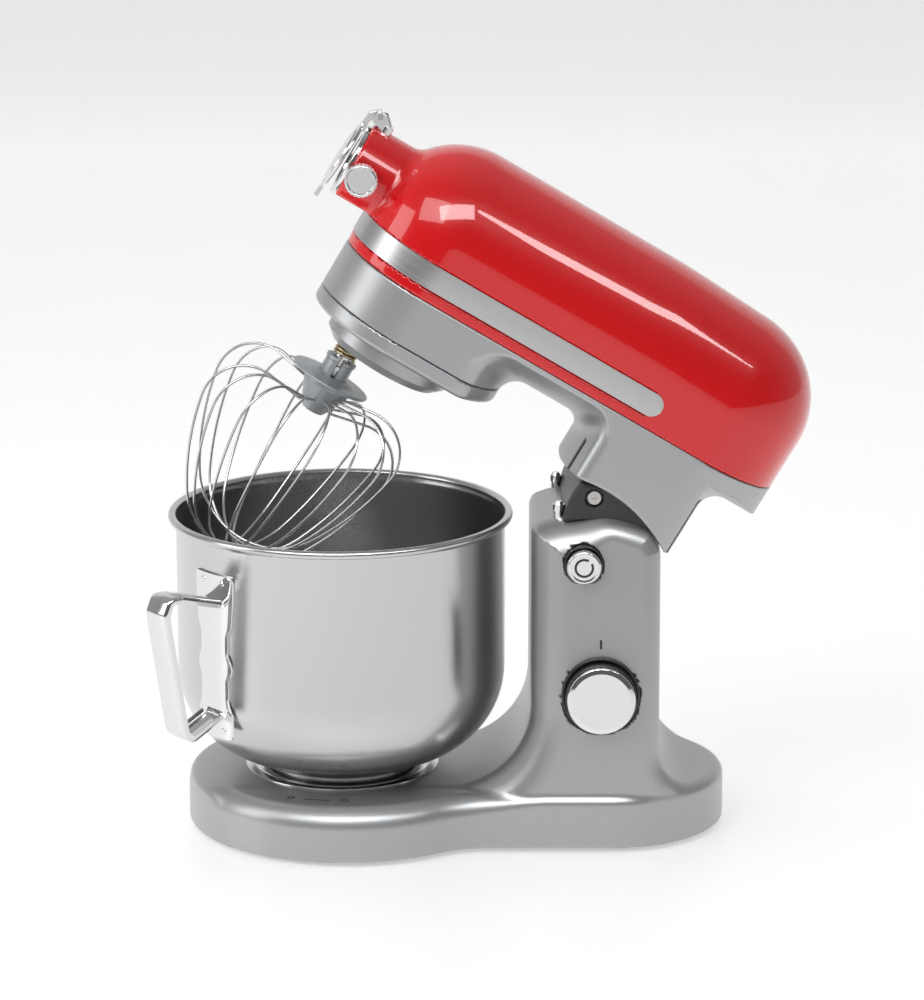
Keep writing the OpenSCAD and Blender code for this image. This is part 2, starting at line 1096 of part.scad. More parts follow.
module motor_rotor()
    color("sienna")
        in_head()
            translate([motor_x, 0, 0]) {
                difference() {
                    union() {
                        translate([0, 0, 295])
                            cylinder(r = 23, h = 34);
                        translate([0, 0, 328.9])
                            cylinder(r = 13.5, h = 17);
                    }
                    translate([0, 0, 290])
                        cylinder(r = 4, h = 60);
                }
            }

module motor_fan()
    color("white")
        in_head()
            translate([motor_x, 0, 357.5])
                difference() {
                    union() {
                        cylinder(r = 14, h = 2);
                        for (a = [0 : 45 : 315])
                            rotate([0, 0, a])
                                translate([4, -0.6, 0])
                                    cube([20, 1.2, 5]);
                    }
                    translate([0, 0, -1])
                        cylinder(r = 4, h = 9);
                }

module motor_shaft()
    color("lightgray")
        in_head()
            translate([motor_x, 0, 270]) {
                cylinder(r = 4, h = 92);
                rotate([0, 0, 180 / pinion_teeth])
                    linear_extrude(height = 9)
                        spur_2d(pinion_teeth, idler_m);
            }

module idler_gear()
    color("gainsboro")
        in_head()
            translate([idler_x, 0, 0]) {
                rotate([0, 0, 180 / pinion_teeth])
                    translate([0, 0, 259])
                        spur(pinion_teeth, planet_m, 11.5, 4 + run_gap);
                translate([0, 0, 270.4])
                    spur(idler_teeth, idler_m, 8, 4 + run_gap);
            }

module idler_shaft()
    color("lightgray")
        in_head()
            translate([idler_x, 0, 258])
                cylinder(r = 4, h = 29.5);

module planet_carrier()
    color("silver")
        in_head()
            difference() {
                translate([0, 0, 214.5])
                    rotate_extrude()
                        polygon([[0, 0], [38, 0], [carrier_r, 5.5], [carrier_r, 19], [0, 19]]);
                translate([tool_x, 0, 210])
                    cylinder(r = tool_r + run_gap, h = 30);
                translate([0, 0, 220])
                    cylinder(r = 7, h = 30);
                translate([20, 0, 210])
                    cylinder(r = 9, h = 8);
            }

module main_gear()
    color("gainsboro")
        in_head()
            translate([0, 0, 260])
                spur(main_teeth, planet_m, 9, 7);

module drive_shaft()
    color("lightgray")
        in_head() {
            translate([0, 0, 220.1])
                cylinder(r = 7, h = outlet_z - 220.1 - 15);
            translate([0, 0, outlet_z - 15.2])
                cylinder(r1 = 14.9, r2 = 7.9, h = 7);
        }

module outlet_shaft()
    color("gainsboro")
        in_head()
            difference() {
                union() {
                    disc_x(outlet_x + outlet_depth + 0.3, 0, outlet_z, 12, 14);
                    disc_x(outlet_x + outlet_depth + 14, 0, outlet_z, 7, 40);
                    translate([-15.2, 0, outlet_z])
                        rotate([0, 90, 0])
                            cylinder(r1 = 14.9, r2 = 7.9, h = 7);
                }
                translate([outlet_x + outlet_depth - 1, -5.2, outlet_z - 5.2])
                    cube([15, 10.4, 10.4]);
            }

module planet_gear()
    color("gainsboro")
        in_head()
            translate([tool_x, 0, 235])
                spur(planet_teeth, planet_m, 8, tool_r);

module tool_shaft()
    color("lightgray")
        in_head()
            difference() {
                translate([tool_x, 0, 176])
                    cylinder(r = tool_r, h = 68);
                disc_y(tool_x, -10, 197, 1.5, 20);
            }

module tool_pin()
    color("gray")
        in_head()
            disc_y(tool_x, -8.6, 197, 1.5, 17.2);

module tool_spring()
    color("tan")
        in_head()
            for (k = [0 : 2])
                translate([tool_x, 0, 205.4 + 3.2 * k])
                    rotate_extrude()
                        translate([7.3, 0])
                            circle(r = 1.1, $fn = 24);

module outlet_cover()
    color("silver")
        in_head()
            translate([-83, 0, outlet_z + 34.5])
                rotate([0, 3, 0])
                    difference() {
                        union() {
                            disc_x(-8.2, 0, -34.5, 25.6, 2.4);
                            disc_x(-9.2, 0, -34.5, 20, 1.1);
                            translate([-8.2, -3.7, -14])
                                cube([4.2, 7.4, 13]);
                            disc_y(0, -3.7, 0, 4, 7.4);
                            translate([-8.2, -3.7, -3])
                                cube([8, 7.4, 6]);
                            disc_x(-8.2, 0, -62.5, 5, 2.4);
                        }
                        disc_y(0, -8, 0, 1.8, 16);
                    }

module clamp_knob()
    color("silver")
        in_head()
            translate([-75, 0, outlet_z - 3]) {
                difference() {
                    disc_y(0, -40, 0, 11, 9);
                    disc_y(0, -41, 0, 8.4, 1.8);
                    for (a = [0 : 15 : 345])
                        rotate([0, a, 0])
                            disc_y(11.5, -38.5, 0, 1, 9);
                }
                disc_y(0, -31.1, 0, 3.3, 8.2);
            }

/* Bowl */
module bowl_half(out)
    union() {
        translate([0, bowl_floor + bowl_knee])
            square([bowl_r - out, rim_z - bowl_floor - bowl_knee - 2]);
        translate([0, bowl_floor + out])
            square([bowl_r - bowl_knee, bowl_knee]);
        intersection() {
            translate([bowl_r - bowl_knee, bowl_floor + bowl_knee])
                circle(r = bowl_knee - out);
            translate([0, bowl_floor])
                square([bowl_r, bowl_knee]);
        }
    }

module bowl_shell()
    color("silver")
        at_bowl()
            rotate_extrude()
                union() {
                    difference() {
                        bowl_half(0);
                        bowl_half(bowl_wall);
                        translate([-1, rim_z - 3])
                            square([bowl_r + 10, 4]);
                    }
                    difference() {
                        translate([rim_r - 3, rim_z - 3])
                            circle(r = 3);
                        translate([rim_r - 3, rim_z - 3])
                            circle(r = 2);
                    }
                    translate([bowl_r - bowl_wall, rim_z - 4])
                        square([rim_r - 5.4 - bowl_r + bowl_wall + 0.6, 1.6]);
                }

module bowl_foot()
    color("silver")
        at_bowl()
            difference() {
                union() {
                    translate([0, 0, 36])
                        rotate_extrude()
                            polygon([[foot_ring_r - 3, -0.7], [foot_ring_r, -0.7], [foot_ring_r - 1, 8],
                                [foot_ring_r + 6, 11.5], [foot_ring_r + 3, 11.5], [foot_ring_r - 4, 9]]);
                    for (a = [30 : 120 : 270])
                        rotate([0, 0, a])
                            translate([foot_ring_r - 1.5, -6, 35.3])
                                cube([4.5, 12, 1.4]);
                }
                translate([0, 0, bowl_floor + bowl_knee])
                    rotate_extrude()
                        intersection() {
                            translate([bowl_r - bowl_knee, 0])
                                circle(r = bowl_knee + 0.02);
                            translate([0, -bowl_knee - 1])
                                square([bowl_r, bowl_knee + 1]);
                        }
            }

module handle_frame()
    at_bowl()
        rotate([0, 0, 180 + handle_turn])
            children();

module bowl_handle()
    color("silver")
        handle_frame()
            along_y(-handle_w / 2, handle_w)
                difference() {
                    polygon([[bowl_r + 2, 174], [handle_reach - 15, 183], [handle_reach - 5, 183],
                        [handle_reach, 176], [handle_reach, 164], [handle_reach - 14, 90],
                        [handle_reach - 20, 83], [bowl_r + 2, 92]]);
                    polygon([[bowl_r, 171.5], [handle_reach - 14.5, 180.8], [handle_reach - 6, 180.8],
                        [handle_reach - 2.2, 175], [handle_reach - 2.2, 164.3], [handle_reach - 16, 91],
                        [handle_reach - 21, 85.2], [bowl_r, 94.4]]);
                }

module handle_plates()
    color("silver")
        handle_frame()
            difference() {
                intersection() {
                    translate([0, 0, 78])
                        difference() {
                            cylinder(r = bowl_r + 2.2, h = 114);
                            translate([0, 0, -1])
                                cylinder(r = bowl_r + 0.05, h = 120);
                        }
                    along_x(60, 100)
                        polygon([[-17, 80], [17, 80], [17, 98], [13.5, 106], [13.5, 120], [17, 128], [13.5, 136],
                            [13.5, 150], [17, 158], [19, 190], [-19, 190], [-17, 158], [-13.5, 150],
                            [-13.5, 136], [-17, 128], [-13.5, 120], [-13.5, 106], [-17, 98]]);
                }
                for (p = [[-9, 183], [9, 183], [-9, 86], [9, 86]])
                    disc_x(108, p[0], p[1], 1.6, 8);
            }

/* Whisk, drawn level */
module whisk_hub()
    color("gray")
        in_head()
            translate([tool_x, 0, 0])
                difference() {
                    union() {
                        translate([0, 0, 163])
                            cylinder(r1 = 7, r2 = 12, h = 8);
                        translate([0, 0, 170.9])
                            cylinder(r1 = 12, r2 = 17, h = 12);
                        translate([0, 0, 182.8])
                            cylinder(r = 17, h = 3.2);
                        translate([0, 0, 185.9])
                            cylinder(r = 10, h = 15);
                        translate([0, 0, 200.8])
                            cylinder(r = 10.8, h = 3);
                    }
                    translate([0, 0, 175])
                        cylinder(r = tool_r + run_gap, h = 40);
                    translate([-1.9, -12, 195])
                        cube([3.8, 24, 10]);
                }

module whisk_collar()
    color("gray")
        in_head()
            translate([tool_x, 0, collar_z])
                difference() {
                    union() {
                        cylinder(r = collar_r, h = 2);
                        translate([0, 0, 1.9])
                            cylinder(r1 = 17, r2 = 12, h = 3);
                    }
                    translate([0, 0, -1])
                        cylinder(r = 10, h = 9);
                }

// A loop is [x, z, heading] rings along three arcs and a straight end
function arc_rings(cx, cz, r, a0, a1, n) =
    [for (i = [0 : n - 1]) let (a = a0 + (a1 - a0) * i / n) [cx + r * cos(a), cz + r * sin(a), a]];

function half_rings() =
    let (sx = 41.5, sz = 146, tip = 53)
    let (bx = sx - (side_r - shoulder_r) * cos(10), bz = sz + (side_r - shoulder_r) * sin(10))
    let (k = bz - tip)
    let (ar = (side_r * side_r - bx * bx - k * k) / (2 * (side_r - k)))
    let (az = tip + ar, low = atan2(tip + ar - bz, -bx))
    let (ex = sx + shoulder_r * cos(100), ez = sz + shoulder_r * sin(100))
    concat(arc_rings(0, az, ar, -90, low, 6), arc_rings(bx, bz, side_r, low, -10, 5),
        arc_rings(sx, sz, shoulder_r, -10, 100, 9),
        [[ex, ez, 100], [ex - wire_in * sin(100), ez + wire_in * cos(100), 100]]);

module wire_loop() {
    half = half_rings();
    n = len(half);
    rings = concat([for (i = [n - 1 : -1 : 1]) [-half[i][0], half[i][1], 180 - half[i][2]]], half);
    m = len(rings);
    s = wire_sides;
    points = [for (g = rings) for (k = [0 : s - 1]) let (t = 360 * k / s)
        [g[0] + wire_r * cos(t) * cos(g[2]), wire_r * sin(t), g[1] + wire_r * cos(t) * sin(g[2])]];
    skin_faces = [for (i = [0 : m - 2]) for (k = [0 : s - 1]) let (j = (k + 1) % s)
        each [[i * s + k, (i + 1) * s + k, (i + 1) * s + j], [i * s + k, (i + 1) * s + j, i * s + j]]];
    start_cap = [[for (k = [0 : s - 1]) k]];
    end_cap = [[for (k = [s - 1 : -1 : 0]) (m - 1) * s + k]];
    polyhedron(points = points, faces = concat(skin_faces, start_cap, end_cap));
}

module whisk_wires()
    color("lightgray")
        in_head()
            for (i = [0 : loops - 1])
                translate([tool_x, 0, 1.85 * i - 3])
                    rotate([0, 0, 180 * i / loops + 8])
                        wire_loop();

stand_casting();
base_cover();
base_feet();
base_screws();
bowl_seat();
seat_screws();
lock_marks();
hinge_block();
hinge_screws();
hinge_pin();
latch_studs();
knob_bezel();
speed_mark();
button_bezel();
speed_board();
speed_switch();
cord_gland();
speed_knob();
knob_cap();
release_button();
button_plunger();
button_spring();
lock_bolt();
head_cover();
trim_band();
head_chassis();
gearbox_cover();
housing_screws();
tilt_ears();
tilt_bushes();
motor_stator();
brush_holders();
motor_bearings();
gear_plate();
ring_gear();
outlet_ring();
cover_hinge();
cover_pin();
motor_rotor();
motor_fan();
motor_shaft();
idler_gear();
idler_shaft();
planet_carrier();
main_gear();
drive_shaft();
outlet_shaft();
planet_gear();
tool_shaft();
tool_pin();
tool_spring();
outlet_cover();
clamp_knob();
bowl_shell();
bowl_foot();
bowl_handle();
handle_plates();
whisk_hub();
whisk_collar();
whisk_wires();
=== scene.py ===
"""Looks of a tilting-head stand mixer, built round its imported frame.

Castings are grown from distance fields, turned parts from profiles and sheet parts from sweeps.
Sizes are millimetres from the bowl axis, with the head drawn level, and turn into metres when placed.
"""

import json
import logging
import math
from dataclasses import dataclass
from enum import Enum
from typing import Callable, Iterable, Sequence

import bpy
import numpy as np
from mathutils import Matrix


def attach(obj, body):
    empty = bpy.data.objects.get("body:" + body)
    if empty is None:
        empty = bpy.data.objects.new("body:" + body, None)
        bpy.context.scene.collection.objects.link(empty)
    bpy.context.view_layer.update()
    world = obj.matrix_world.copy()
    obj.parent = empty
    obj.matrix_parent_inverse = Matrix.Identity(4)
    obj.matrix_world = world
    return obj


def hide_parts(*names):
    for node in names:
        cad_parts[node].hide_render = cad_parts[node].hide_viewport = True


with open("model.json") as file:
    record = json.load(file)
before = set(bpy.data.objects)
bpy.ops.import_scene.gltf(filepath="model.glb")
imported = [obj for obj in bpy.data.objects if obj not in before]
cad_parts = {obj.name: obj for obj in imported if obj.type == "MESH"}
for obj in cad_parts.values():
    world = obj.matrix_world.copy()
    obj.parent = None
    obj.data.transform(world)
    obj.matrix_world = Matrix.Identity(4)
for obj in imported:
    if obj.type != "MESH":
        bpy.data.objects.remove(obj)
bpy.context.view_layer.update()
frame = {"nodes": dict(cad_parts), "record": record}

import openvdb
from mathutils import Matrix, Vector

LOG = logging.getLogger("mixer")
MM = 0.001
BOWL_X = -95.0
HINGE_X = 196.0
HINGE_Z = 212.0
TILT = 30.5
TOOL_X = -24.0
KNOB = (171.5, 106.0)
BUTTON = (160.0, 193.0)
EAR_Y = 30.0
EAR_SLOT = 4.5
EAR_CLEAR_R = 11.4
STUD = (144.0, 40.0)
OUTLET_Z = 320.4

Array = np.ndarray
Profile = Sequence[tuple[float, float]]
Field = Callable[[Array, Array, Array], Array]


# ---------------------------------------------------------------- placing


class Place(Enum):
    """The frame that a piece is drawn in."""

    STAND = "stand"
    HEAD = "head"


def place_matrix(place: Place) -> Matrix:
    """The matrix from a drawing frame to the row frame.

    Args:
        place: The frame that the piece is drawn in.

    Returns:
        The matrix, for points in metres.
    """
    bowl = Matrix.Translation((BOWL_X * MM, 0, 0))
    if place is Place.STAND:
        return bowl
    hinge = Vector((HINGE_X * MM, 0, HINGE_Z * MM))
    turn = Matrix.Rotation(math.radians(TILT), 4, "Y")
    return bowl @ Matrix.Translation(hinge) @ turn @ Matrix.Translation(-hinge)


def shift(x: float, y: float, z: float) -> Matrix:
    """A move in millimetres."""
    return Matrix.Translation((x * MM, y * MM, z * MM))


def toward_user() -> Matrix:
    """Turns a part's own Z to -Y, toward the controls' side."""
    return Matrix.Rotation(math.radians(90), 4, "X")


def toward_front() -> Matrix:
    """Turns a part's own Z to -X, toward the nose."""
    return Matrix.Rotation(math.radians(-90), 4, "Y")


# ---------------------------------------------------------------- distance fields


def disc(a: Array, b: Array, ca: float, cb: float, r: float) -> Array:
    """Distance to a circle in the plane of a and b."""
    return np.hypot(a - ca, b - cb) - r


def box2(a: Array, b: Array, a0: float, a1: float, b0: float, b1: float) -> Array:
    """Distance to a rectangle in the plane of a and b."""
    da = np.abs(a - (a0 + a1) / 2) - (a1 - a0) / 2
    db = np.abs(b - (b0 + b1) / 2) - (b1 - b0) / 2
    return np.minimum(np.maximum(da, db), 0) + np.hypot(np.maximum(da, 0), np.maximum(db, 0))


def capsule2(a: Array, b: Array, a0: float, a1: float, r: float) -> Array:
    """Distance to a round-ended bar along a."""
    return np.hypot(a - np.clip(a, a0, a1), b) - r


def both(p: Array, q: Array, r: Array | float) -> Array:
    """Where p and q overlap, with the edge between them rounded by r."""
    out = np.hypot(np.maximum(p + r, 0), np.maximum(q + r, 0))
    return np.minimum(-r, np.maximum(p, q)) + out


def joined(p: Array, q: Array, r: Array | float) -> Array:
    """p and q together, with the corner between them filled by r."""
    return -both(-p, -q, r)


def cut_away(solid: Array, cuts: Iterable[Array]) -> Array:
    """The solid with every cut taken out of it."""
    for cut in cuts:
        solid = np.maximum(solid, -cut)
    return solid


def ease(x: Array, start: float, end: float) -> Array:
    """A smooth step from 0 at start to 1 at end."""
    t = np.clip((x - start) / (end - start), 0, 1)
    return t * t * (3 - 2 * t)


# ---------------------------------------------------------------- skins


@dataclass
class Skin:
    """A mesh in millimetres.

    Args:
        points: One row per vertex.
        faces: Vertex numbers of each face.
        normals: One row per vertex, where they are known exactly.
    """

    points: Array
    faces: list
    normals: Array | None = None

    def plus(self, other: "Skin") -> "Skin":
        """This skin and another as one."""
        n = len(self.points)
        moved = [[i + n for i in f] for f in other.faces]
        return Skin(np.vstack([self.points, other.points]), list(self.faces) + moved)

    def moved(self, matrix: Matrix) -> "Skin":
        """This skin moved by a matrix whose shift is in metres."""
        m = np.array(matrix)
        turned = self.points @ m[:3, :3].T + m[:3, 3] / MM
        return Skin(turned, self.faces)

    def upright(self) -> "Skin":
        """This skin with Y and Z swapped, still facing out."""
        return Skin(self.points[:, [0, 2, 1]], [f[::-1] for f in self.faces])


def gathered(parts: Sequence[Skin]) -> Skin:
    """Several skins as one."""
    whole = parts[0]
    for part in parts[1:]:
        whole = whole.plus(part)
    return whole


@dataclass
class Casting:
    """A rounded solid grown from a distance field.

    Args:
        lo: Lowest corner of the space it fills.
        hi: Highest corner.
        step: Size of a cell.
        shape: The distance field.
    """

    lo: tuple[float, float, float]
    hi: tuple[float, float, float]
    step: float
    shape: Field

    def slope(self, p: Array, reach: float) -> Array:
        """The field's slope at points, from differences over a reach."""
        out = np.zeros_like(p)
        for k in range(3):
            up, down = p.copy(), p.copy()
            up[:, k] += reach
            down[:, k] -= reach
            out[:, k] = (self.shape(*up.T) - self.shape(*down.T)) / (2 * reach)
        return out

    def skin(self) -> Skin:
        """Meshes the field, settles each point on it and takes its normals.

        Returns:
            The skin, with normals.
        """
        axes = [np.arange(a, b + self.step, self.step) for a, b in zip(self.lo, self.hi)]
        x, y, z = np.meshgrid(*axes, indexing="ij", sparse=True)
        values = self.shape(x, y, z)
        values = np.ascontiguousarray(np.broadcast_to(values, [len(a) for a in axes]), np.float32)
        grid = openvdb.FloatGrid(background=3 * self.step)
        grid.copyFromArray(values)
        found, quads = grid.convertToQuads(isovalue=0.0)
        points = found.astype(float) * self.step + np.array(self.lo)
        for _ in range(3):
            slope = self.slope(points, 0.05)
            size = np.maximum((slope**2).sum(1), 0.25)
            move = self.shape(*points.T) / size
            move = np.clip(move, -0.6 * self.step, 0.6 * self.step)
            points -= slope * move[:, None]
        normals = self.slope(points, 0.25)
        normals /= np.maximum(np.linalg.norm(normals, axis=1), 1e-9)[:, None]
        quads = quads.astype(int)
        a, b, c = (points[quads[:, k]] for k in (0, 1, 2))
        facing = (np.cross(b - a, c - b) * normals[quads[:, 0]]).sum(1)
        if np.median(facing) < 0:
            quads = quads[:, ::-1]
        return Skin(points, quads.tolist(), normals)


def rounded(corners: Iterable[tuple[float, float, float]], steps: int = 5) -> list[tuple[float, float]]:
    """A path with its corners rounded.

    Args:
        corners: Points as (a, b, radius), in order.
        steps: Points along each round corner, less one.

    Returns:
        The path's points.
    """
    pts = [Vector((a, b)) for a, b, _ in corners]
    radii = [r for _, _, r in corners]
    path: list[tuple[float, float]] = []
    for i, (p, r) in enumerate(zip(pts, radii)):
        if r <= 0 or i in (0, len(pts) - 1):
            path.append((p.x, p.y))
            continue
        u = (pts[i - 1] - p).normalized()
        v = (pts[i + 1] - p).normalized()
        half = u.angle(v) / 2
        if half > math.radians(89):
            path.append((p.x, p.y))
            continue
        centre = p + (u + v).normalized() * (r / math.sin(half))
        first = p + u * (r / math.tan(half)) - centre
        last = p + v * (r / math.tan(half)) - centre
        sweep = math.pi - 2 * half
        sign = 1 if first.x * last.y - first.y * last.x > 0 else -1
        for k in range(steps + 1):
            t = sign * sweep * k / steps
            c, s = math.cos(t), math.sin(t)
            path.append((centre.x + c * first.x - s * first.y, centre.y + s * first.x + c * first.y))
    return path


def closed(corners: Sequence[tuple[float, float, float]], steps: int = 5) -> list[tuple[float, float]]:
    """A closed outline with its corners rounded."""
    ring = [corners[-1], *corners, corners[0]]
    return rounded(ring, steps)[1:-1]


def lathe(profile: Profile, turns: int = 96, whole: bool = True) -> Skin:
    """Turns a profile about Z.

    Args:
        profile: (radius, height) points. A radius of 0 makes a pole.
        turns: Faces round the axis.
        whole: Whether the profile closes on itself.

    Returns:
        The turned skin.
    """
    angle = np.arange(turns) * 2 * math.pi / turns
    points: list = []
    rows: list[list[int]] = []
    for r, z in profile:
        start = len(points)
        if r < 1e-6:
            points.append((0.0, 0.0, z))
            rows.append([start] * turns)
        else:
            points.extend(zip(r * np.cos(angle), r * np.sin(angle), [z] * turns))
            rows.append(list(range(start, start + turns)))
    pairs = list(zip(rows, rows[1:])) + ([(rows[-1], rows[0])] if whole else [])
    faces = []
    for low, high in pairs:
        for k in range(turns):
            j = (k + 1) % turns
            ring = list(dict.fromkeys([low[k], low[j], high[j], high[k]]))
            if len(ring) > 2:
                faces.append(ring)
    return Skin(np.array(points, float), faces)


def sweep(section: Profile, path: Array, sides: Array, outs: Array, loop: bool = False) -> Skin:
    """Carries a closed section along a path.

    Args:
        section: (across, out) points of the section, anticlockwise.
        path: Points of the path.
        sides: Unit directions of across, one per path point.
        outs: Unit directions of out.
        loop: Whether the path closes on itself.

    Returns:
        The swept skin, with flat ends where it doesn't close.
    """
    sec = np.array(section, float)
    n = len(sec)
    points = (
        path[:, None] + sec[None, :, :1] * sides[:, None] + sec[None, :, 1:] * outs[:, None]
    ).reshape(-1, 3)
    faces: list = []
    count = len(path)
    for i in range(count if loop else count - 1):
        j = (i + 1) % count
        for k in range(n):
            m = (k + 1) % n
            faces.append([i * n + k, i * n + m, j * n + m, j * n + k])
    if not loop:
        faces.append(list(range(n))[::-1])
        faces.append(list(range((count - 1) * n, count * n)))
    return Skin(points, faces)


def round_section(r: float, sides: int) -> list[tuple[float, float]]:
    """A round section."""
    return [
        (r * math.cos(2 * math.pi * k / sides), r * math.sin(2 * math.pi * k / sides))
        for k in range(sides)
    ]


def tube(path: Array, r: float, across: Sequence[float], sides: int = 12) -> Skin:
    """A round wire along a path.

    Args:
        path: Points of the path.
        r: Radius of the wire.
        across: A direction that is never along the path.
        sides: Faces round the wire.

    Returns:
        The wire's skin.
    """
    ahead = np.gradient(path, axis=0)
    ahead /= np.linalg.norm(ahead, axis=1)[:, None]
    side = np.cross(np.array(across, float), ahead)
    side /= np.linalg.norm(side, axis=1)[:, None]
    return sweep(round_section(r, sides), path, side, np.cross(ahead, side))


def slab(outline: Profile, z0: float, z1: float) -> Skin:
    """An outline given a thickness along Z."""
    n = len(outline)
    low = [(a, b, z0) for a, b in outline]
    high = [(a, b, z1) for a, b in outline]
    faces: list = [[k, (k + 1) % n, n + (k + 1) % n, n + k] for k in range(n)]
    faces += [list(range(n))[::-1], list(range(n, 2 * n))]
    return Skin(np.array(low + high, float), faces)


# ---------------------------------------------------------------- finishes


class Texture(Enum):
    """How a finish's grain lies."""

    EVEN = "even"
    DRAWN = "drawn"
    TURNED = "turned"


def group_socket(tree: bpy.types.NodeTree, name: str, kind: str, out: bool = False) -> None:
    """Adds a named socket to a node group."""
    tree.interface.new_socket(name=name, in_out="OUTPUT" if out else "INPUT", socket_type=kind)


@dataclass(frozen=True)
class GrainGroup:
    """The shared grain: two tones, a spread of roughness and a height.

    Args:
        texture: How the grain lies.
    """

    texture: Texture

    def build(self) -> bpy.types.NodeTree:
        """Makes the group once and gives it again after that."""
        name = f"grain_{self.texture.value}"
        if name in bpy.data.node_groups:
            return bpy.data.node_groups[name]
        tree = bpy.data.node_groups.new(name, "ShaderNodeTree")
        for label, kind in (
            ("Vector", "Vector"), ("Stretch", "Vector"), ("Tone A", "Color"), ("Tone B", "Color"),
        ):
            group_socket(tree, label, f"NodeSocket{kind}")
        for label in ("Scale", "Rough Low", "Rough High"):
            group_socket(tree, label, "NodeSocketFloat")
        for label, kind in (("Color", "Color"), ("Roughness", "Float"), ("Height", "Float")):
            group_socket(tree, label, f"NodeSocket{kind}", out=True)
        into, out = tree.nodes.new("NodeGroupInput"), tree.nodes.new("NodeGroupOutput")
        link = tree.links.new
        place = into.outputs["Vector"]
        if self.texture is Texture.TURNED:
            place = self.polar(tree, place)
        scaled = tree.nodes.new("ShaderNodeVectorMath")
        scaled.operation = "MULTIPLY"
        link(place, scaled.inputs[0])
        link(into.outputs["Stretch"], scaled.inputs[1])
        fine = tree.nodes.new("ShaderNodeTexNoise")
        fine.inputs["Detail"].default_value = 4.0
        link(scaled.outputs["Vector"], fine.inputs["Vector"])
        link(into.outputs["Scale"], fine.inputs["Scale"])
        broad = tree.nodes.new("ShaderNodeTexNoise")
        broad.inputs["Scale"].default_value = 9.0
        link(into.outputs["Vector"], broad.inputs["Vector"])
        both_noise = tree.nodes.new("ShaderNodeMix")
        both_noise.inputs["Factor"].default_value = 0.35
        link(fine.outputs["Fac"], both_noise.inputs["A"])
        link(broad.outputs["Fac"], both_noise.inputs["B"])
        tone = tree.nodes.new("ShaderNodeMix")
        tone.data_type = "RGBA"
        link(both_noise.outputs["Result"], tone.inputs["Factor"])
        link(into.outputs["Tone A"], tone.inputs[6])
        link(into.outputs["Tone B"], tone.inputs[7])
        rough = tree.nodes.new("ShaderNodeMapRange")
        rough.inputs["From Min"].default_value = 0.3
        rough.inputs["From Max"].default_value = 0.7
        link(both_noise.outputs["Result"], rough.inputs["Value"])
        link(into.outputs["Rough Low"], rough.inputs["To Min"])
        link(into.outputs["Rough High"], rough.inputs["To Max"])
        link(tone.outputs[2], out.inputs["Color"])
        link(rough.outputs["Result"], out.inputs["Roughness"])
        link(fine.outputs["Fac"], out.inputs["Height"])
        return tree

    def polar(self, tree: bpy.types.NodeTree, place: bpy.types.NodeSocket) -> bpy.types.NodeSocket:
        """Turns a place into (radius, nothing, height), for lines round Z.

        Args:
            tree: The group being built.
            place: The place's socket.

        Returns:
            The turned place's socket.
        """
        link = tree.links.new
        split = tree.nodes.new("ShaderNodeSeparateXYZ")
        link(place, split.inputs[0])
        flat = tree.nodes.new("ShaderNodeCombineXYZ")
        link(split.outputs["X"], flat.inputs["X"])
        link(split.outputs["Y"], flat.inputs["Y"])
        size = tree.nodes.new("ShaderNodeVectorMath")
        size.operation = "LENGTH"
        link(flat.outputs["Vector"], size.inputs[0])
        out = tree.nodes.new("ShaderNodeCombineXYZ")
        link(size.outputs["Value"], out.inputs["X"])
        link(split.outputs["Z"], out.inputs["Z"])
        return out.outputs["Vector"]


@dataclass(frozen=True)
class Finish:
    """One finish, as a procedural material.

    Args:
        slot: The record's slot.
        tones: The two colours that the grain mixes.
        rough: Lowest and highest roughness.
        metal: Metallic.
        texture: How the grain lies.
        scale: Grain per metre.
        stretch: Grain's density along x, y and z.
        relief: Depth of the grain, in metres.
        coat: Weight of the clear coat.
        sheen_ior: Index of refraction.
    """

    slot: str
    tones: tuple[tuple[float, float, float], tuple[float, float, float]]
    rough: tuple[float, float]
    metal: float = 0.0
    texture: Texture = Texture.EVEN
    scale: float = 900.0
    stretch: tuple[float, float, float] = (1.0, 1.0, 1.0)
    relief: float = 0.00002
    coat: float = 0.0
    sheen_ior: float = 1.5

    def build(self) -> bpy.types.Material:
        """Makes the material once and gives it again after that."""
        name = f"{self.slot}_finish"
        if name in bpy.data.materials:
            return bpy.data.materials[name]
        mat = bpy.data.materials.new(name)
        mat.use_nodes = True
        tree = mat.node_tree
        shader = tree.nodes["Principled BSDF"]
        grain = tree.nodes.new("ShaderNodeGroup")
        grain.node_tree = GrainGroup(self.texture).build()
        where = tree.nodes.new("ShaderNodeTexCoord")
        link = tree.links.new
        link(where.outputs["Object"], grain.inputs["Vector"])
        grain.inputs["Stretch"].default_value = self.stretch
        grain.inputs["Scale"].default_value = self.scale
        grain.inputs["Tone A"].default_value = (*self.tones[0], 1)
        grain.inputs["Tone B"].default_value = (*self.tones[1], 1)
        grain.inputs["Rough Low"].default_value = self.rough[0]
        grain.inputs["Rough High"].default_value = self.rough[1]
        link(grain.outputs["Color"], shader.inputs["Base Color"])
        link(grain.outputs["Roughness"], shader.inputs["Roughness"])
        bump = tree.nodes.new("ShaderNodeBump")
        bump.inputs["Distance"].default_value = self.relief
        link(grain.outputs["Height"], bump.inputs["Height"])
        link(bump.outputs["Normal"], shader.inputs["Normal"])
        shader.inputs["Metallic"].default_value = self.metal
        shader.inputs["IOR"].default_value = self.sheen_ior
        shader.inputs["Coat Weight"].default_value = self.coat
        shader.inputs["Coat Roughness"].default_value = 0.04
        shader.inputs["Coat IOR"].default_value = 1.55
        return mat


def grey(value: float, warm: float = 0.0) -> tuple[float, float, float]:
    """A grey, warmer with warm above 0 and cooler below."""
    return (value * (1 + warm), value, value * (1 - warm))


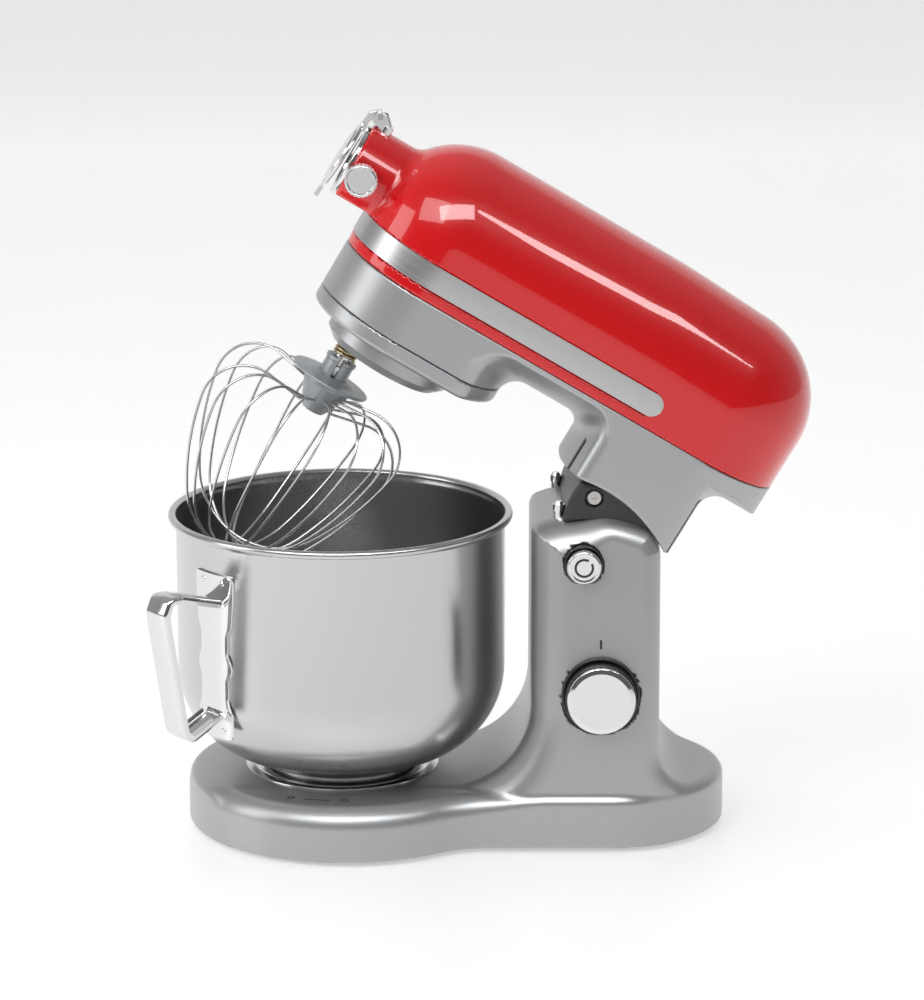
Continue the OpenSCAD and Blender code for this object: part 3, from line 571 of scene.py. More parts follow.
CAST_SILVER = Finish(
    "cast_silver", (grey(0.44, -0.02), grey(0.52, -0.02)), (0.32, 0.40), 0.62, scale=2600.0,
    relief=0.000012,
)
COVER_RED = Finish(
    "cover_red", ((0.80, 0.003, 0.006), (0.84, 0.004, 0.008)), (0.25, 0.30), 0.0, scale=700.0,
    relief=0.000002, coat=1.0, sheen_ior=1.3,
)
BAND_STEEL = Finish(
    "band_steel", (grey(0.52), grey(0.66)), (0.24, 0.42), 1.0, Texture.DRAWN, 900.0, (0.02, 0.02, 4.0),
    0.00001,
)
POLISHED_STEEL = Finish(
    "polished_steel", (grey(0.55), grey(0.61)), (0.20, 0.28), 1.0, Texture.TURNED, 700.0, (1.0, 0.0, 2.5),
    0.000001,
)
BRIGHT_TRIM = Finish(
    "bright_trim", (grey(0.72), grey(0.78)), (0.07, 0.13), 1.0, Texture.TURNED, 900.0, (2.0, 0.0, 1.0),
    0.000002,
)
BEZEL_DARK = Finish("bezel_dark", (grey(0.055), grey(0.075)), (0.22, 0.32), 0.6, scale=1500.0)
COVER_DARK = Finish("cover_dark", (grey(0.045), grey(0.06)), (0.35, 0.5), 0.2, scale=1800.0)
WHISK_GREY = Finish("whisk_grey", (grey(0.40, -0.04), grey(0.47, -0.04)), (0.34, 0.44), 0.35, scale=2200.0)
RUBBER_BLACK = Finish(
    "rubber_black", (grey(0.018), grey(0.03)), (0.6, 0.8), 0.0, scale=2500.0, relief=0.00006,
)
ZINC_SCREW = Finish("zinc_screw", (grey(0.5, 0.04), grey(0.62, 0.02)), (0.25, 0.4), 1.0, scale=1800.0)
TOOL_STEEL = Finish(
    "tool_steel", (grey(0.55), grey(0.66)), (0.16, 0.28), 1.0, Texture.TURNED, 900.0, (1.0, 0.0, 2.0),
    0.000006,
)
SPRING_STEEL = Finish(
    "spring_steel", ((0.46, 0.36, 0.22), (0.58, 0.48, 0.32)), (0.2, 0.34), 1.0, scale=1600.0,
)
BUSH_BRONZE = Finish(
    "bush_bronze", ((0.50, 0.32, 0.12), (0.60, 0.40, 0.17)), (0.3, 0.45), 1.0, scale=1600.0,
)
COPPER_WIRE = Finish(
    "copper_wire", ((0.55, 0.22, 0.10), (0.65, 0.30, 0.14)), (0.25, 0.4), 1.0, Texture.DRAWN, 800.0,
    (1.0, 1.0, 6.0),
)
LAMINATED_IRON = Finish(
    "laminated_iron", (grey(0.14), grey(0.26)), (0.4, 0.6), 0.9, Texture.DRAWN, 500.0, (0.05, 0.05, 5.0),
)
NYLON_WHITE = Finish("nylon_white", ((0.72, 0.70, 0.64), (0.80, 0.78, 0.72)), (0.4, 0.5), 0.0, scale=1400.0)
BOARD_GREEN = Finish(
    "board_green", ((0.02, 0.16, 0.06), (0.03, 0.24, 0.09)), (0.35, 0.5), 0.0, scale=1200.0,
)
MARK_BLACK = Finish("mark_black", (grey(0.02), grey(0.05)), (0.45, 0.6), 0.0, scale=2400.0)
FINISHES = {
    f.slot: f
    for f in (
        CAST_SILVER, COVER_RED, BAND_STEEL, POLISHED_STEEL, BRIGHT_TRIM, BEZEL_DARK, COVER_DARK, WHISK_GREY,
        RUBBER_BLACK, ZINC_SCREW, TOOL_STEEL, SPRING_STEEL, BUSH_BRONZE, COPPER_WIRE, LAMINATED_IRON,
        NYLON_WHITE, BOARD_GREEN, MARK_BLACK,
    )
}


# ---------------------------------------------------------------- making pieces


def make_piece(
    name: str,
    skin: Skin,
    at: Matrix,
    body: str,
    finish: Finish,
    nodes: Sequence[str] = (),
    bevel: float = 0.0,
    crease: float = 35.0,
) -> bpy.types.Object:
    """Puts a skin in the scene as a piece of the mixer.

    Args:
        name: The piece's name.
        skin: Its mesh, in millimetres.
        at: Its place in the row frame.
        body: The CAD body it rides on.
        finish: Its finish.
        nodes: The CAD nodes it stands for.
        bevel: Width of its edges' rounding, in millimetres.
        crease: Angle in degrees above which an edge is drawn sharp.

    Returns:
        The object.
    """
    mesh = bpy.data.meshes.new(name)
    mesh.from_pydata((skin.points * MM).tolist(), [], skin.faces)
    mesh.validate()
    mesh.update()
    mesh.shade_smooth()
    if skin.normals is not None:
        mesh.normals_split_custom_set_from_vertices(skin.normals.tolist())
    elif not bevel:
        mesh.set_sharp_from_angle(angle=math.radians(crease))
    mesh.materials.append(finish.build())
    piece = bpy.data.objects.new(name, mesh)
    bpy.context.scene.collection.objects.link(piece)
    piece.matrix_world = at
    if bevel:
        cut = piece.modifiers.new("edges", "BEVEL")
        cut.width = bevel * MM
        cut.segments = 3
        cut.limit_method = "ANGLE"
        cut.angle_limit = math.radians(crease)
        cut.harden_normals = True
    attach(piece, body)
    if nodes:
        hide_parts(*nodes)
    LOG.info("%s on %s: %d faces", name, body, len(skin.faces))
    return piece


# ---------------------------------------------------------------- stand


@dataclass
class Stand:
    """The base, the column and what is fixed to them."""

    lobe_x: float = 5.0
    lobe_r: float = 108.0
    tail_x: float = 177.5
    tail_r: float = 79.0
    waist_r: float = 60.0
    low: float = 3.0
    top: float = 38.0
    edge_front: float = 14.0
    edge_rear: float = 6.0
    front: float = 126.0
    rear: float = 210.5
    half: float = 80.0
    lean: float = 17.5 / 226.0
    saddle: tuple[float, float, float] = (164.0, 134.0, 87.7)
    open_arch: tuple[float, float, float] = (126.2, 158.5, 94.2)
    sweep_front: float = 57.0
    sweep_rear: float = 30.0
    corner_front: float = 26.0
    corner_rear: float = 12.0

    def plan(self, x: Array, y: Array) -> Array:
        """Distance to the base's outline from above."""
        side = self.tail_r + self.waist_r
        end = self.lobe_x + math.sqrt((self.lobe_r + self.waist_r) ** 2 - side**2)
        lobe = disc(x, y, self.lobe_x, 0, self.lobe_r)
        waist = -disc(x, np.abs(y), end, side, self.waist_r)
        tail = capsule2(x, y, end, self.tail_x, self.tail_r)
        ahead = (x - self.lobe_x) * side < np.abs(y) * (end - self.lobe_x)
        return np.where(ahead, lobe, np.where(x < end, waist, tail))

    def casting(self, x: Array, y: Array, z: Array) -> Array:
        """Distance to the base and column with their cuts."""
        plan = self.plan(x, y)
        edge = self.edge_front + (self.edge_rear - self.edge_front) * ease(x, 75, 140)
        base = both(plan, z - self.top, edge)
        slant = np.abs(y) + self.lean * z
        strip = np.maximum(self.front - x, x - self.rear)
        reach = self.sweep_front + (self.sweep_rear - self.sweep_front) * ease(x, 155, 185)
        profile = joined(strip, z - self.top + 0.3, reach)
        sx, sz, sr = self.saddle
        arch = np.where(z > sz, np.hypot(x - sx, z - sz) - sr, np.abs(x - sx) - sr)
        top = both(both(strip, arch, 5.0), disc(x, z, *self.open_arch), 2.0)
        profile = np.where(z > 150, top, profile)
        corner = self.corner_front + (self.corner_rear - self.corner_front) * ease(x, 155, 180)
        column = both(profile, slant - self.half, corner)
        column = both(column, plan + 0.2, 7.0)
        solid = joined(base, column, 2.0)
        solid = both(solid, self.low - z, 1.5)
        cuts = [
            np.maximum(np.hypot(x, y) - 60, 33 - z),
            np.maximum(plan + 5, z - 9),
            np.maximum(box2(x, z, 145, 205, 70, 204), slant - self.half + 6),
            np.maximum(disc(x, z, *KNOB, 26.1), y + 70.2),
            np.maximum(disc(x, z, *KNOB, 16), y + 50),
            np.maximum(disc(x, z, *BUTTON, 12.9), y + 50),
            np.maximum(disc(x, z, HINGE_X, HINGE_Z, 5), np.abs(y) - 51),
            np.maximum(np.hypot(y - 50, z - 18) - 7, 225 - x),
        ]
        cuts.append(self.ear_slot(x, y, z, 240))
        return cut_away(solid, cuts)

    def ear_slot(self, x: Array, y: Array, z: Array, reach: float) -> Array:
        """Distance to the two slots that the head's ears swing in."""
        rise = box2(x, z, HINGE_X - EAR_CLEAR_R, reach, HINGE_Z, HINGE_Z + 50)
        slot = np.minimum(disc(x, z, HINGE_X, HINGE_Z, EAR_CLEAR_R), rise)
        return np.maximum(slot, np.abs(np.abs(y) - EAR_Y) - EAR_SLOT)

    def block(self, x: Array, y: Array, z: Array) -> Array:
        """Distance to the dark cover over the hinge."""
        outline = [(140, 180), (140, 243), (158, 246), (180, 240), (196, 231), (205, 222), (206, 180)]
        shape = None
        for (ax, az), (bx, bz) in zip(outline, outline[1:]):
            nx, nz = -(bz - az), bx - ax
            size = math.hypot(nx, nz)
            side = ((x - ax) * nx + (z - az) * nz) / size
            shape = side if shape is None else both(shape, side, 3.0)
        sx, sz, sr = self.saddle
        shape = both(shape, disc(x, z, HINGE_X, HINGE_Z, 50), 2.0)
        solid = both(shape, np.abs(y) - 52, 3.0)
        solid = np.maximum(solid, sr - 1.5 - np.hypot(x - sx, z - sz))
        screw = np.maximum(disc(x, z, 167, 234, 6), 49 - np.abs(y))
        stud = disc(x, np.abs(y), *STUD, 4.6)
        return cut_away(solid, (self.ear_slot(x, y, z, 256), screw, stud))

    def build(self) -> None:
        """Builds the stand's pieces."""
        at = place_matrix(Place.STAND)
        body = Casting((-106, -111, 0), (260, 111, 226), 1.8, self.casting).skin()
        make_piece("base_and_column", body, at, "stand", CAST_SILVER, ["stand_casting"])
        block = Casting((136, -56, 176), (210, 56, 250), 1.2, self.block).skin()
        make_piece("hinge_hood", block, at, "stand", COVER_DARK, ["hinge_block"])
        self.seat(at)
        self.bezels(at)

    def seat(self, at: Matrix) -> None:
        """Turns the bright seat that takes the bowl."""
        profile = closed(
            [
                (20.0, 33.0, 0), (59.4, 33.0, 0), (59.4, 37.9, 0), (65.0, 37.9, 0.3), (65.0, 39.2, 0.5),
                (60.5, 40.2, 1.0), (57.0, 39.4, 0.8), (57.0, 35.2, 1.6), (20.0, 35.0, 0),
            ]
        )
        pan = lathe(profile, 128)
        floor = lathe([(0, 33.0), (20.2, 33.0), (20.2, 34.8), (0, 34.8)], 64, whole=False)
        make_piece("bowl_seat_ring", pan.plus(floor), at, "stand", BRIGHT_TRIM, ["bowl_seat"])

    def bezels(self, at: Matrix) -> None:
        """Turns the dark rings round the knob and the button."""
        knob = closed(
            [
                (5.2, 1.0, 0), (24.0, 1.0, 0.2), (24.0, 2.9, 0.4), (25.8, 2.9, 0.8), (25.8, -0.9, 0),
                (5.2, -0.9, 0),
            ]
        )
        place = at @ shift(KNOB[0], -70.5, KNOB[1]) @ toward_user()
        make_piece("knob_surround", lathe(knob), place, "stand", BEZEL_DARK, ["knob_bezel"])
        button = closed(
            [
                (5.4, 0.4, 0), (11.8, 0.4, 0), (11.8, 8.2, 0.2), (12.7, 8.4, 0.4), (12.7, -1.0, 0),
                (5.4, -1.0, 0),
            ]
        )
        place = at @ shift(BUTTON[0], -59.3, BUTTON[1]) @ toward_user()
        make_piece("button_surround", lathe(button, 72), place, "stand", BEZEL_DARK, ["button_bezel"])


# ---------------------------------------------------------------- controls


@dataclass
class Controls:
    """The speed knob and the head's release button."""

    knob_face: float = 86.6
    button_face: float = 74.9

    def build(self) -> None:
        """Builds both controls."""
        at = place_matrix(Place.STAND)
        place = at @ shift(KNOB[0], -self.knob_face, KNOB[1]) @ toward_user()
        skirt = closed(
            [
                (0.5, -14.0, 0), (23.0, -14.0, 0.6), (23.4, -8.0, 0), (23.2, -3.2, 0.7), (21.4, -2.6, 0.4),
                (21.4, -4.8, 0), (0.5, -4.8, 0),
            ]
        )
        spindle = lathe([(0, -5.0), (3.0, -5.0), (3.0, -27.6), (0, -27.6)], 32, whole=False)
        make_piece(
            "speed_knob_body", lathe(skirt, 128).plus(spindle), place, "knob", BEZEL_DARK, ["speed_knob"],
        )
        cap = rounded(
            [
                (0, -4.6, 0), (21.2, -4.6, 0), (22.5, -3.0, 0.4), (22.3, -1.2, 1.1), (19.0, -0.05, 2.4),
                (14.0, -0.35, 4.0), (0, -0.45, 0),
            ],
            6,
        )
        make_piece("speed_knob_cap", lathe(cap, 128, whole=False), place, "knob", BRIGHT_TRIM, ["knob_cap"])
        place = at @ shift(BUTTON[0], -self.button_face, BUTTON[1]) @ toward_user()
        push = rounded(
            [
                (0, -8.3, 0), (11.3, -8.3, 0), (11.3, -1.6, 0), (10.2, -0.1, 1.4), (8.2, -0.5, 0.8),
                (0, -0.3, 0),
            ],
            6,
        )
        make_piece(
            "release_push", lathe(push, 96, whole=False), place, "button", BRIGHT_TRIM, ["release_button"],
        )
        self.emblem(place)

    def emblem(self, place: Matrix) -> None:
        """Lays the open ring on the release button."""
        turn = np.radians(np.linspace(60, 390, 60))
        path = np.stack([5.6 * np.cos(turn), 5.6 * np.sin(turn), np.full_like(turn, -0.30)], 1)
        ahead = np.stack([-np.sin(turn), np.cos(turn), np.zeros_like(turn)], 1)
        outs = np.tile([0.0, 0.0, 1.0], (len(turn), 1))
        sides = np.cross(ahead, outs)
        section = [(-0.8, -0.5), (0.8, -0.5), (0.8, 0.05), (0.5, 0.25), (-0.5, 0.25), (-0.8, 0.05)]
        make_piece("release_ring_mark", sweep(section, path, sides, outs), place, "button", BEZEL_DARK)


# ---------------------------------------------------------------- head


@dataclass
class Head:
    """The tilting head's cover, band, chassis and gearbox cover, drawn level."""

    radius: float = 60.0
    nose: float = -1.0
    back: float = 203.5
    dome: float = 311.5
    part: float = 274.5
    seam: float = 241.5
    belly: float = 230.0
    neck: float = 251.5
    hull: float = 102.0
    wall: float = 3.0
    arch: tuple[float, float, float] = (163.0, 130.5, 95.0)
    scoop: tuple[float, float, float] = (256.0, 218.0, 29.0)
    outlet_r: float = 27.5
    band_low: float = 282.0
    band_high: float = 298.0
    band_end: float = 166.0

    def shell(self, x: Array, y: Array, z: Array, r: float) -> Array:
        """Distance to the dome at a radius."""
        spine = self.dome - 3.0 * ease(x, 130, 215)
        up = np.maximum(z - spine, 0) * (1 + 0.012 * ease(x, 190, 230))
        along = x - np.clip(x, self.nose, self.back)
        return np.sqrt(along**2 + y**2 + up**2) - r

    def cover(self, x: Array, y: Array, z: Array) -> Array:
        """Distance to the red cover with its outlet neck."""
        outer = self.shell(x, y, z, self.radius)
        neck = np.hypot(y, z - OUTLET_Z) - self.outlet_r
        neck = both(neck, -84 - x, 1.2)
        neck = np.maximum(neck, x + 20)
        solid = joined(outer, neck, 4.0)
        solid = both(solid, self.part - z, 0.8)
        hollow = self.shell(x, y, z, self.radius - self.wall)
        bore = np.maximum(np.hypot(y, z - OUTLET_Z) - 22, x + 17)
        clamp = np.maximum(disc(x, z, -75, OUTLET_Z - 3, 3.4), y + 15)
        groove = np.maximum(np.abs(z - 290) - 8.1, 59.2 - np.hypot(x - np.clip(x, self.nose, 260), y))
        groove = np.maximum(groove, x - 158)
        return cut_away(solid, (hollow, bore, groove, clamp))

    def stadium(self, x: Array, y: Array, r: float) -> Array:
        """Distance to the head's outline from above."""
        return np.hypot(x - np.clip(x, self.nose, self.back), y) - r

    def belly_plan(self, x: Array, y: Array, inset: float) -> Array:
        """Distance to the gearbox's outline from above."""
        plan = np.hypot(x - np.clip(x, self.nose, 89), y) - self.radius + inset
        return both(plan, disc(x, y, -7, 0, 82 - inset), 5.0)

    def chassis(self, x: Array, y: Array, z: Array) -> Array:
        """Distance to the silver chassis under the cover."""
        top = z - self.part + 0.35
        belly = np.maximum(self.belly_plan(x, y, 0.15), self.seam - z)
        plan = self.stadium(x, y, self.radius - 0.15)
        neck = np.hypot(y, z - self.neck - self.hull) - self.hull
        neck = both(neck, plan, 1.2)
        ax, az, ar = self.arch
        sx, sz, sr = self.scoop
        side = np.maximum(ar - np.hypot(x - ax, z - az), sr - np.hypot(x - sx, z - sz))
        side = np.maximum(side, np.maximum(196 - z, 120 - x))
        side = np.maximum(side, -box2(x, z, 227, 300, 180, 218))
        side = np.maximum(side, -box2(x, z, 256, 320, 180, 247))
        tail_plan = both(plan, disc(x, y, 131 + 169, 0, 169), 6.0)
        tail_plan = np.where(z < 262, both(tail_plan, disc(x, y, 41.5, 0, 185), 3.0), tail_plan)
        tail = both(side, tail_plan, 1.6)
        solid = joined(belly, np.minimum(neck, 40), 14.0)
        solid = joined(solid, tail, 14.0)
        solid = np.maximum(solid, plan)
        solid = both(solid, top, 0.8)
        inner = np.maximum(self.belly_plan(x, y, self.wall + 1), self.seam - 3 - z)
        tongue = np.hypot(y, z - self.neck - self.hull) - self.hull + 5
        tongue = np.maximum(np.maximum(tongue, 257 - z), self.stadium(x, y, self.radius - self.wall))
        bay = np.maximum(box2(x, z, 145, 222, 190, 249), 5 + sr - np.hypot(x - sx, z - sz))
        bay = np.maximum(bay, np.abs(y) - 54)
        studs = np.maximum(np.hypot(x - 143.5, np.abs(y) - 40) - 7, np.maximum(z - 245, 200 - z))
        return cut_away(solid, (inner, tongue, bay, studs))

    def gear_cover(self, x: Array, y: Array, z: Array) -> Array:
        """Distance to the gearbox's lower cover."""
        plan = self.belly_plan(x, y, 0.15)
        solid = both(plan, self.belly - z, 3.5)
        solid = both(solid, z - self.seam + 0.5, 0.6)
        hole = np.hypot(x, y)
        solid = both(solid, 44.9 - hole, 1.0)
        return np.maximum(solid, -np.maximum(hole - 46, 234 - z))

    def band(self) -> Skin:
        """The steel band round the nose, with round rear ends."""
        half = (self.band_high - self.band_low) / 2
        end = self.band_end - half
        straight = [(x, 1.0) for x in np.linspace(end, self.nose, 40)]
        tips = [(end + half * math.sin(t), math.cos(t)) for t in np.linspace(math.pi / 2 - 0.02, 0.12, 14)]
        run = tips + straight
        turns = np.radians(np.linspace(-90, -270, 72)[1:-1])
        columns = [(x, (0.0, -1.0), share) for x, share in run]
        columns += [(self.nose, (math.cos(a), math.sin(a)), 1.0) for a in turns]
        columns += [(x, (0.0, 1.0), share) for x, share in run[::-1]]
        mid = (self.band_high + self.band_low) / 2
        rows = [
            (-1.0, 59.3), (-1.0, 60.0), (-0.96, 60.35), (-0.5, 60.42), (0.0, 60.45), (0.5, 60.42),
            (0.96, 60.35), (1.0, 60.0), (1.0, 59.3),
        ]
        points, faces = [], []
        for x, (out_x, out_y), share in columns:
            for v, r in rows:
                points.append((x + out_x * r, out_y * r, mid + v * half * share))
        n = len(rows)
        for i in range(len(columns) - 1):
            for k in range(n):
                m = (k + 1) % n
                faces.append([i * n + k, i * n + m, (i + 1) * n + m, (i + 1) * n + k])
        faces.append(list(range(n))[::-1])
        faces.append(list(range((len(columns) - 1) * n, len(columns) * n)))
        return Skin(np.array(points, float), faces)

    def build(self) -> None:
        """Builds the head's outer pieces."""
        at = place_matrix(Place.HEAD)
        cover = Casting((-90, -64, 270), (268, 64, 378), 1.8, self.cover).skin()
        make_piece("head_shell", cover, at, "head", COVER_RED, ["head_cover"])
        chassis = Casting((-66, -64, 192), (268, 64, 278), 1.6, self.chassis).skin()
        make_piece("head_frame", chassis, at, "head", CAST_SILVER, ["head_chassis"])
        lower = Casting((-66, -64, 226), (92, 64, 245), 1.4, self.gear_cover).skin()
        make_piece("gear_case_lid", lower, at, "head", CAST_SILVER, ["gearbox_cover"])
        make_piece("nose_band", self.band(), at, "head", BAND_STEEL, ["trim_band"])


@dataclass
class Outlet:
    """The front power outlet: ring, hinged cover and clamp knob."""

    pin: tuple[float, float] = (-83.0, 354.9)

    def build(self) -> None:
        """Builds the outlet's pieces."""
        at = place_matrix(Place.HEAD)
        axis = at @ shift(0, 0, OUTLET_Z) @ toward_front()
        ring = closed(
            [
                (19.0, 87.0, 0.8), (25.2, 87.0, 1.0), (25.2, 84.2, 0.3), (21.8, 84.2, 0), (21.8, 52.2, 0),
                (19.0, 52.2, 0),
            ]
        )
        socket = lathe(closed([(12.1, 66.0, 0.4), (19.2, 66.0, 0), (19.2, 52.2, 0), (12.1, 52.2, 0)]), 72)
        make_piece("outlet_bush", lathe(ring, 112).plus(socket), axis, "head", BRIGHT_TRIM, ["outlet_ring"])
        self.hinge(at)
        self.cover(at)
        self.clamp(at)

    def hinge(self, at: Matrix) -> None:
        """Builds the two lugs that hold the cover's pin."""
        px, pz = self.pin
        lug = closed(
            [
                (px + 9, pz - 8.4, 1), (px + 12, pz - 5, 2), (px + 3.6, pz + 3.4, 3.0),
                (px - 3.6, pz + 3.4, 3.2), (px - 4.2, pz - 4.6, 2),
            ][::-1], 5
        )
        lugs = gathered([slab(lug, y, y + 2.8).upright() for y in (-6.9, 4.1)])
        foot = slab(
            closed([(-78.5, -7, 1.5), (-71.5, -7, 1.5), (-71.5, 7, 1.5), (-78.5, 7, 1.5)]), OUTLET_Z + 26.4,
            OUTLET_Z + 31.6,
        )
        make_piece("cover_lugs", lugs.plus(foot), at, "head", BRIGHT_TRIM, ["cover_hinge"], bevel=0.4)

    def cover(self, at: Matrix) -> None:
        """Builds the round cover with its arm and tab."""
        px, pz = self.pin
        own = at @ shift(px, 0, pz) @ Matrix.Rotation(math.radians(3), 4, "Y")
        plate = rounded(
            [
                (0, 5.9, 0), (24.6, 5.9, 0.5), (25.5, 6.6, 0.6), (25.5, 8.0, 0.5), (22.5, 8.3, 0.6),
                (20.4, 7.6, 0.8), (19.6, 9.1, 0.7), (0, 9.2, 0),
            ],
            5,
        )
        disc_skin = lathe(plate, 112, whole=False).moved(shift(0, 0, -34.5) @ toward_front())
        arm_path = [
            (-7.9, -15.0, 0), (-8.1, -2.0, 4.0), (-3.0, 3.2, 3.0), (3.2, 3.2, 3.0), (3.4, -3.2, 3.0),
            (-2.4, -3.4, 1.6), (-4.2, -6.0, 1.6), (-4.2, -15.0, 0),
        ]
        arm = slab(closed(arm_path[::-1], 6), -3.6, 3.6).upright()
        tab = slab(
            closed([(-5.8, -66.4, 1.4), (-5.8, -58.0, 0), (-8.2, -58.0, 0), (-8.8, -66.8, 1.0)], 5), -4.4,
            4.4,
        )
        tab = Skin(tab.points[:, [0, 2, 1]], tab.faces)
        make_piece(
            "outlet_lid", disc_skin.plus(arm).plus(tab), own, "cover", BRIGHT_TRIM, ["outlet_cover"],
            bevel=0.3,
        )

    def clamp(self, at: Matrix) -> None:
        """Builds the knurled clamp knob."""
        place = at @ shift(-75, -40, OUTLET_Z - 3) @ toward_user()
        teeth = 24
        outline = []
        for k in range(teeth * 6):
            turn = 2 * math.pi * k / (teeth * 6)
            r = 10.7 - 0.55 * max(0.0, math.cos(turn * teeth)) ** 2
            outline.append((r * math.cos(turn), r * math.sin(turn)))
        rim = slab(outline, -8.6, -0.9)
        face = lathe(
            rounded(
                [
                    (0, -1.2, 0), (10.1, -1.2, 0.2), (10.0, 0.0, 0.7), (8.8, 0.1, 0.4), (8.2, -1.1, 0.4),
                    (0, -0.8, 0),
                ],
                5,
            ),
            96, whole=False,
        )
        stem = lathe([(0, -8.0), (3.2, -8.0), (3.2, -17.0), (0, -17.0)], 40, whole=False)
        make_piece(
            "clamp_wheel", rim.plus(face).plus(stem), place, "clamp", BRIGHT_TRIM, ["clamp_knob"],
            crease=50,
        )


# ---------------------------------------------------------------- bowl and whisk


@dataclass
class Bowl:
    """The steel bowl with its foot and side handle."""

    wall_r: float = 109.5
    rim_z: float = 214.4
    floor: float = 46.0
    knee: float = 62.0
    sheet: float = 0.9
    turn: float = 43.0
    reach: float = 159.0
    strap: float = 21.0

    def shell(self) -> Skin:
        """Turns the bowl with its rolled rim."""
        r, f, k, s, top = self.wall_r, self.floor, self.knee, self.sheet, self.rim_z
        knee_out = [
            (r - k + k * math.sin(t), f + k - k * math.cos(t))
            for t in np.linspace(0, math.pi / 2, 30)
        ]
        inner = k - s
        knee_in = [
            (r - k + inner * math.sin(t), f + k - inner * math.cos(t))
            for t in np.linspace(math.pi / 2, 0, 30)
        ]
        roll = [
            (111.9 + 2.75 * math.cos(t), top - 2.9 + 2.75 * math.sin(t))
            for t in np.linspace(math.radians(-120), math.radians(200), 26)
        ]
        neck = [(r - 0.1, top - 7.5), (r + 0.35, top - 5.8)]
        profile = [(0, f)] + knee_out + neck + roll + [
            (r - s - 0.2, top - 5.5), (r - s, top - 8.0),
        ] + knee_in + [(0, f + s)]
        return lathe(profile, 192, whole=False)

    def foot(self) -> Skin:
        """Turns the foot ring under the bowl."""
        ring = closed(
            [
                (50.0, 35.6, 0.3), (53.0, 35.4, 0.4), (52.2, 43.5, 2.0), (58.5, 47.2, 1.0), (55.5, 47.0, 0),
                (49.2, 44.6, 1.0),
            ]
        )
        return lathe(ring, 160)

    def handle(self) -> Skin:
        """Sweeps the sheet handle, with its edges turned in."""
        out, r = self.reach, self.wall_r
        line = rounded(
            [
                (r + 1.6, 173.2, 0), (out - 16, 182.6, 10), (out - 5.4, 183.0, 6.5), (out - 0.2, 172, 9),
                (out - 2.2, 158, 30), (out - 14.6, 88, 9), (out - 23, 82.0, 6), (r + 1.6, 93.0, 0),
            ],
            9,
        )
        flat = np.array(line)
        ahead = np.gradient(flat, axis=0)
        ahead /= np.linalg.norm(ahead, axis=1)[:, None]
        outs2 = np.stack([-ahead[:, 1], ahead[:, 0]], 1)
        path = np.stack([flat[:, 0], np.zeros(len(flat)), flat[:, 1]], 1)
        outs = np.stack([outs2[:, 0], np.zeros(len(flat)), outs2[:, 1]], 1)
        sides = np.tile([0.0, 1.0, 0.0], (len(flat), 1))
        w, deep, t = self.strap / 2, 4.6, 1.1
        outer = rounded([(-w, -deep, 0), (-w, 0, 2.6), (0, 0.5, 30), (w, 0, 2.6), (w, -deep, 0)], 6)
        inner = rounded(
            [(w - t, -deep, 0), (w - t, -t, 1.6), (0, -t + 0.4, 30), (-w + t, -t, 1.6), (-w + t, -deep, 0)],
            6,
        )
        section = (outer + inner)[::-1]
        return sweep(section, path, sides, outs)

    def plate(self) -> Skin:
        """Presses the bracket plate onto the wall."""
        edge = [
            (79.5, 15.0), (81.0, 16.6), (97, 17.0), (101, 15.2), (106, 13.6), (119, 13.5), (124, 16.2),
            (128, 17.0), (132, 16.2), (137, 13.5), (149, 13.5), (154, 16.0), (158, 17.0), (175, 18.6),
            (187.5, 19.0), (189.5, 17.4),
        ]
        heights = np.linspace(79.5, 189.5, 90)
        halves = np.interp(heights, [e[0] for e in edge], [e[1] for e in edge])
        across = 18
        points, faces = [], []
        for layer in (self.wall_r + 0.06, self.wall_r + 1.4):
            for z, h in zip(heights, halves):
                for a in np.linspace(-h, h, across + 1):
                    lip = 0.0 if layer < self.wall_r + 1 or abs(a) < h - 0.01 else -0.5
                    turn = a / layer
                    points.append(((layer + lip) * math.cos(turn), (layer + lip) * math.sin(turn), z))
        cols, rows = across + 1, len(heights)
        half = cols * rows
        for i in range(rows - 1):
            for k in range(across):
                a = i * cols + k
                faces.append([a, a + cols, a + cols + 1, a + 1])
                faces.append([half + a, half + a + 1, half + a + cols + 1, half + a + cols])
        for i in range(rows - 1):
            for k, flip in ((0, False), (across, True)):
                a = i * cols + k
                ring = [a, half + a, half + a + cols, a + cols]
                faces.append(ring[::-1] if flip else ring)
        for k in range(across):
            for i, flip in ((0, True), (rows - 1, False)):
                a = i * cols + k
                ring = [a, half + a, half + a + 1, a + 1]
                faces.append(ring[::-1] if flip else ring)
        return Skin(np.array(points, float), [f[::-1] for f in faces])

    def welds(self) -> Skin:
        """Presses the four weld dimples of the plate."""
        dimple = lathe(
            rounded(
                [(0, 0.9, 0), (1.2, 0.9, 0.4), (1.7, 0.3, 0.3), (2.2, 0.1, 0), (2.2, -1.2, 0)], 4,
            ) + [(0, -1.2)],
            20, whole=False,
        )
        parts = []
        for across, z in ((-9, 184.5), (9, 184.5), (-9, 85), (9, 85)):
            turn = across / self.wall_r
            at = shift((self.wall_r + 1.3) * math.cos(turn), (self.wall_r + 1.3) * math.sin(turn), z)
            spun = Matrix.Rotation(turn, 4, "Z") @ Matrix.Rotation(math.radians(90), 4, "Y")
            parts.append(dimple.moved(at @ spun))
        return gathered(parts)

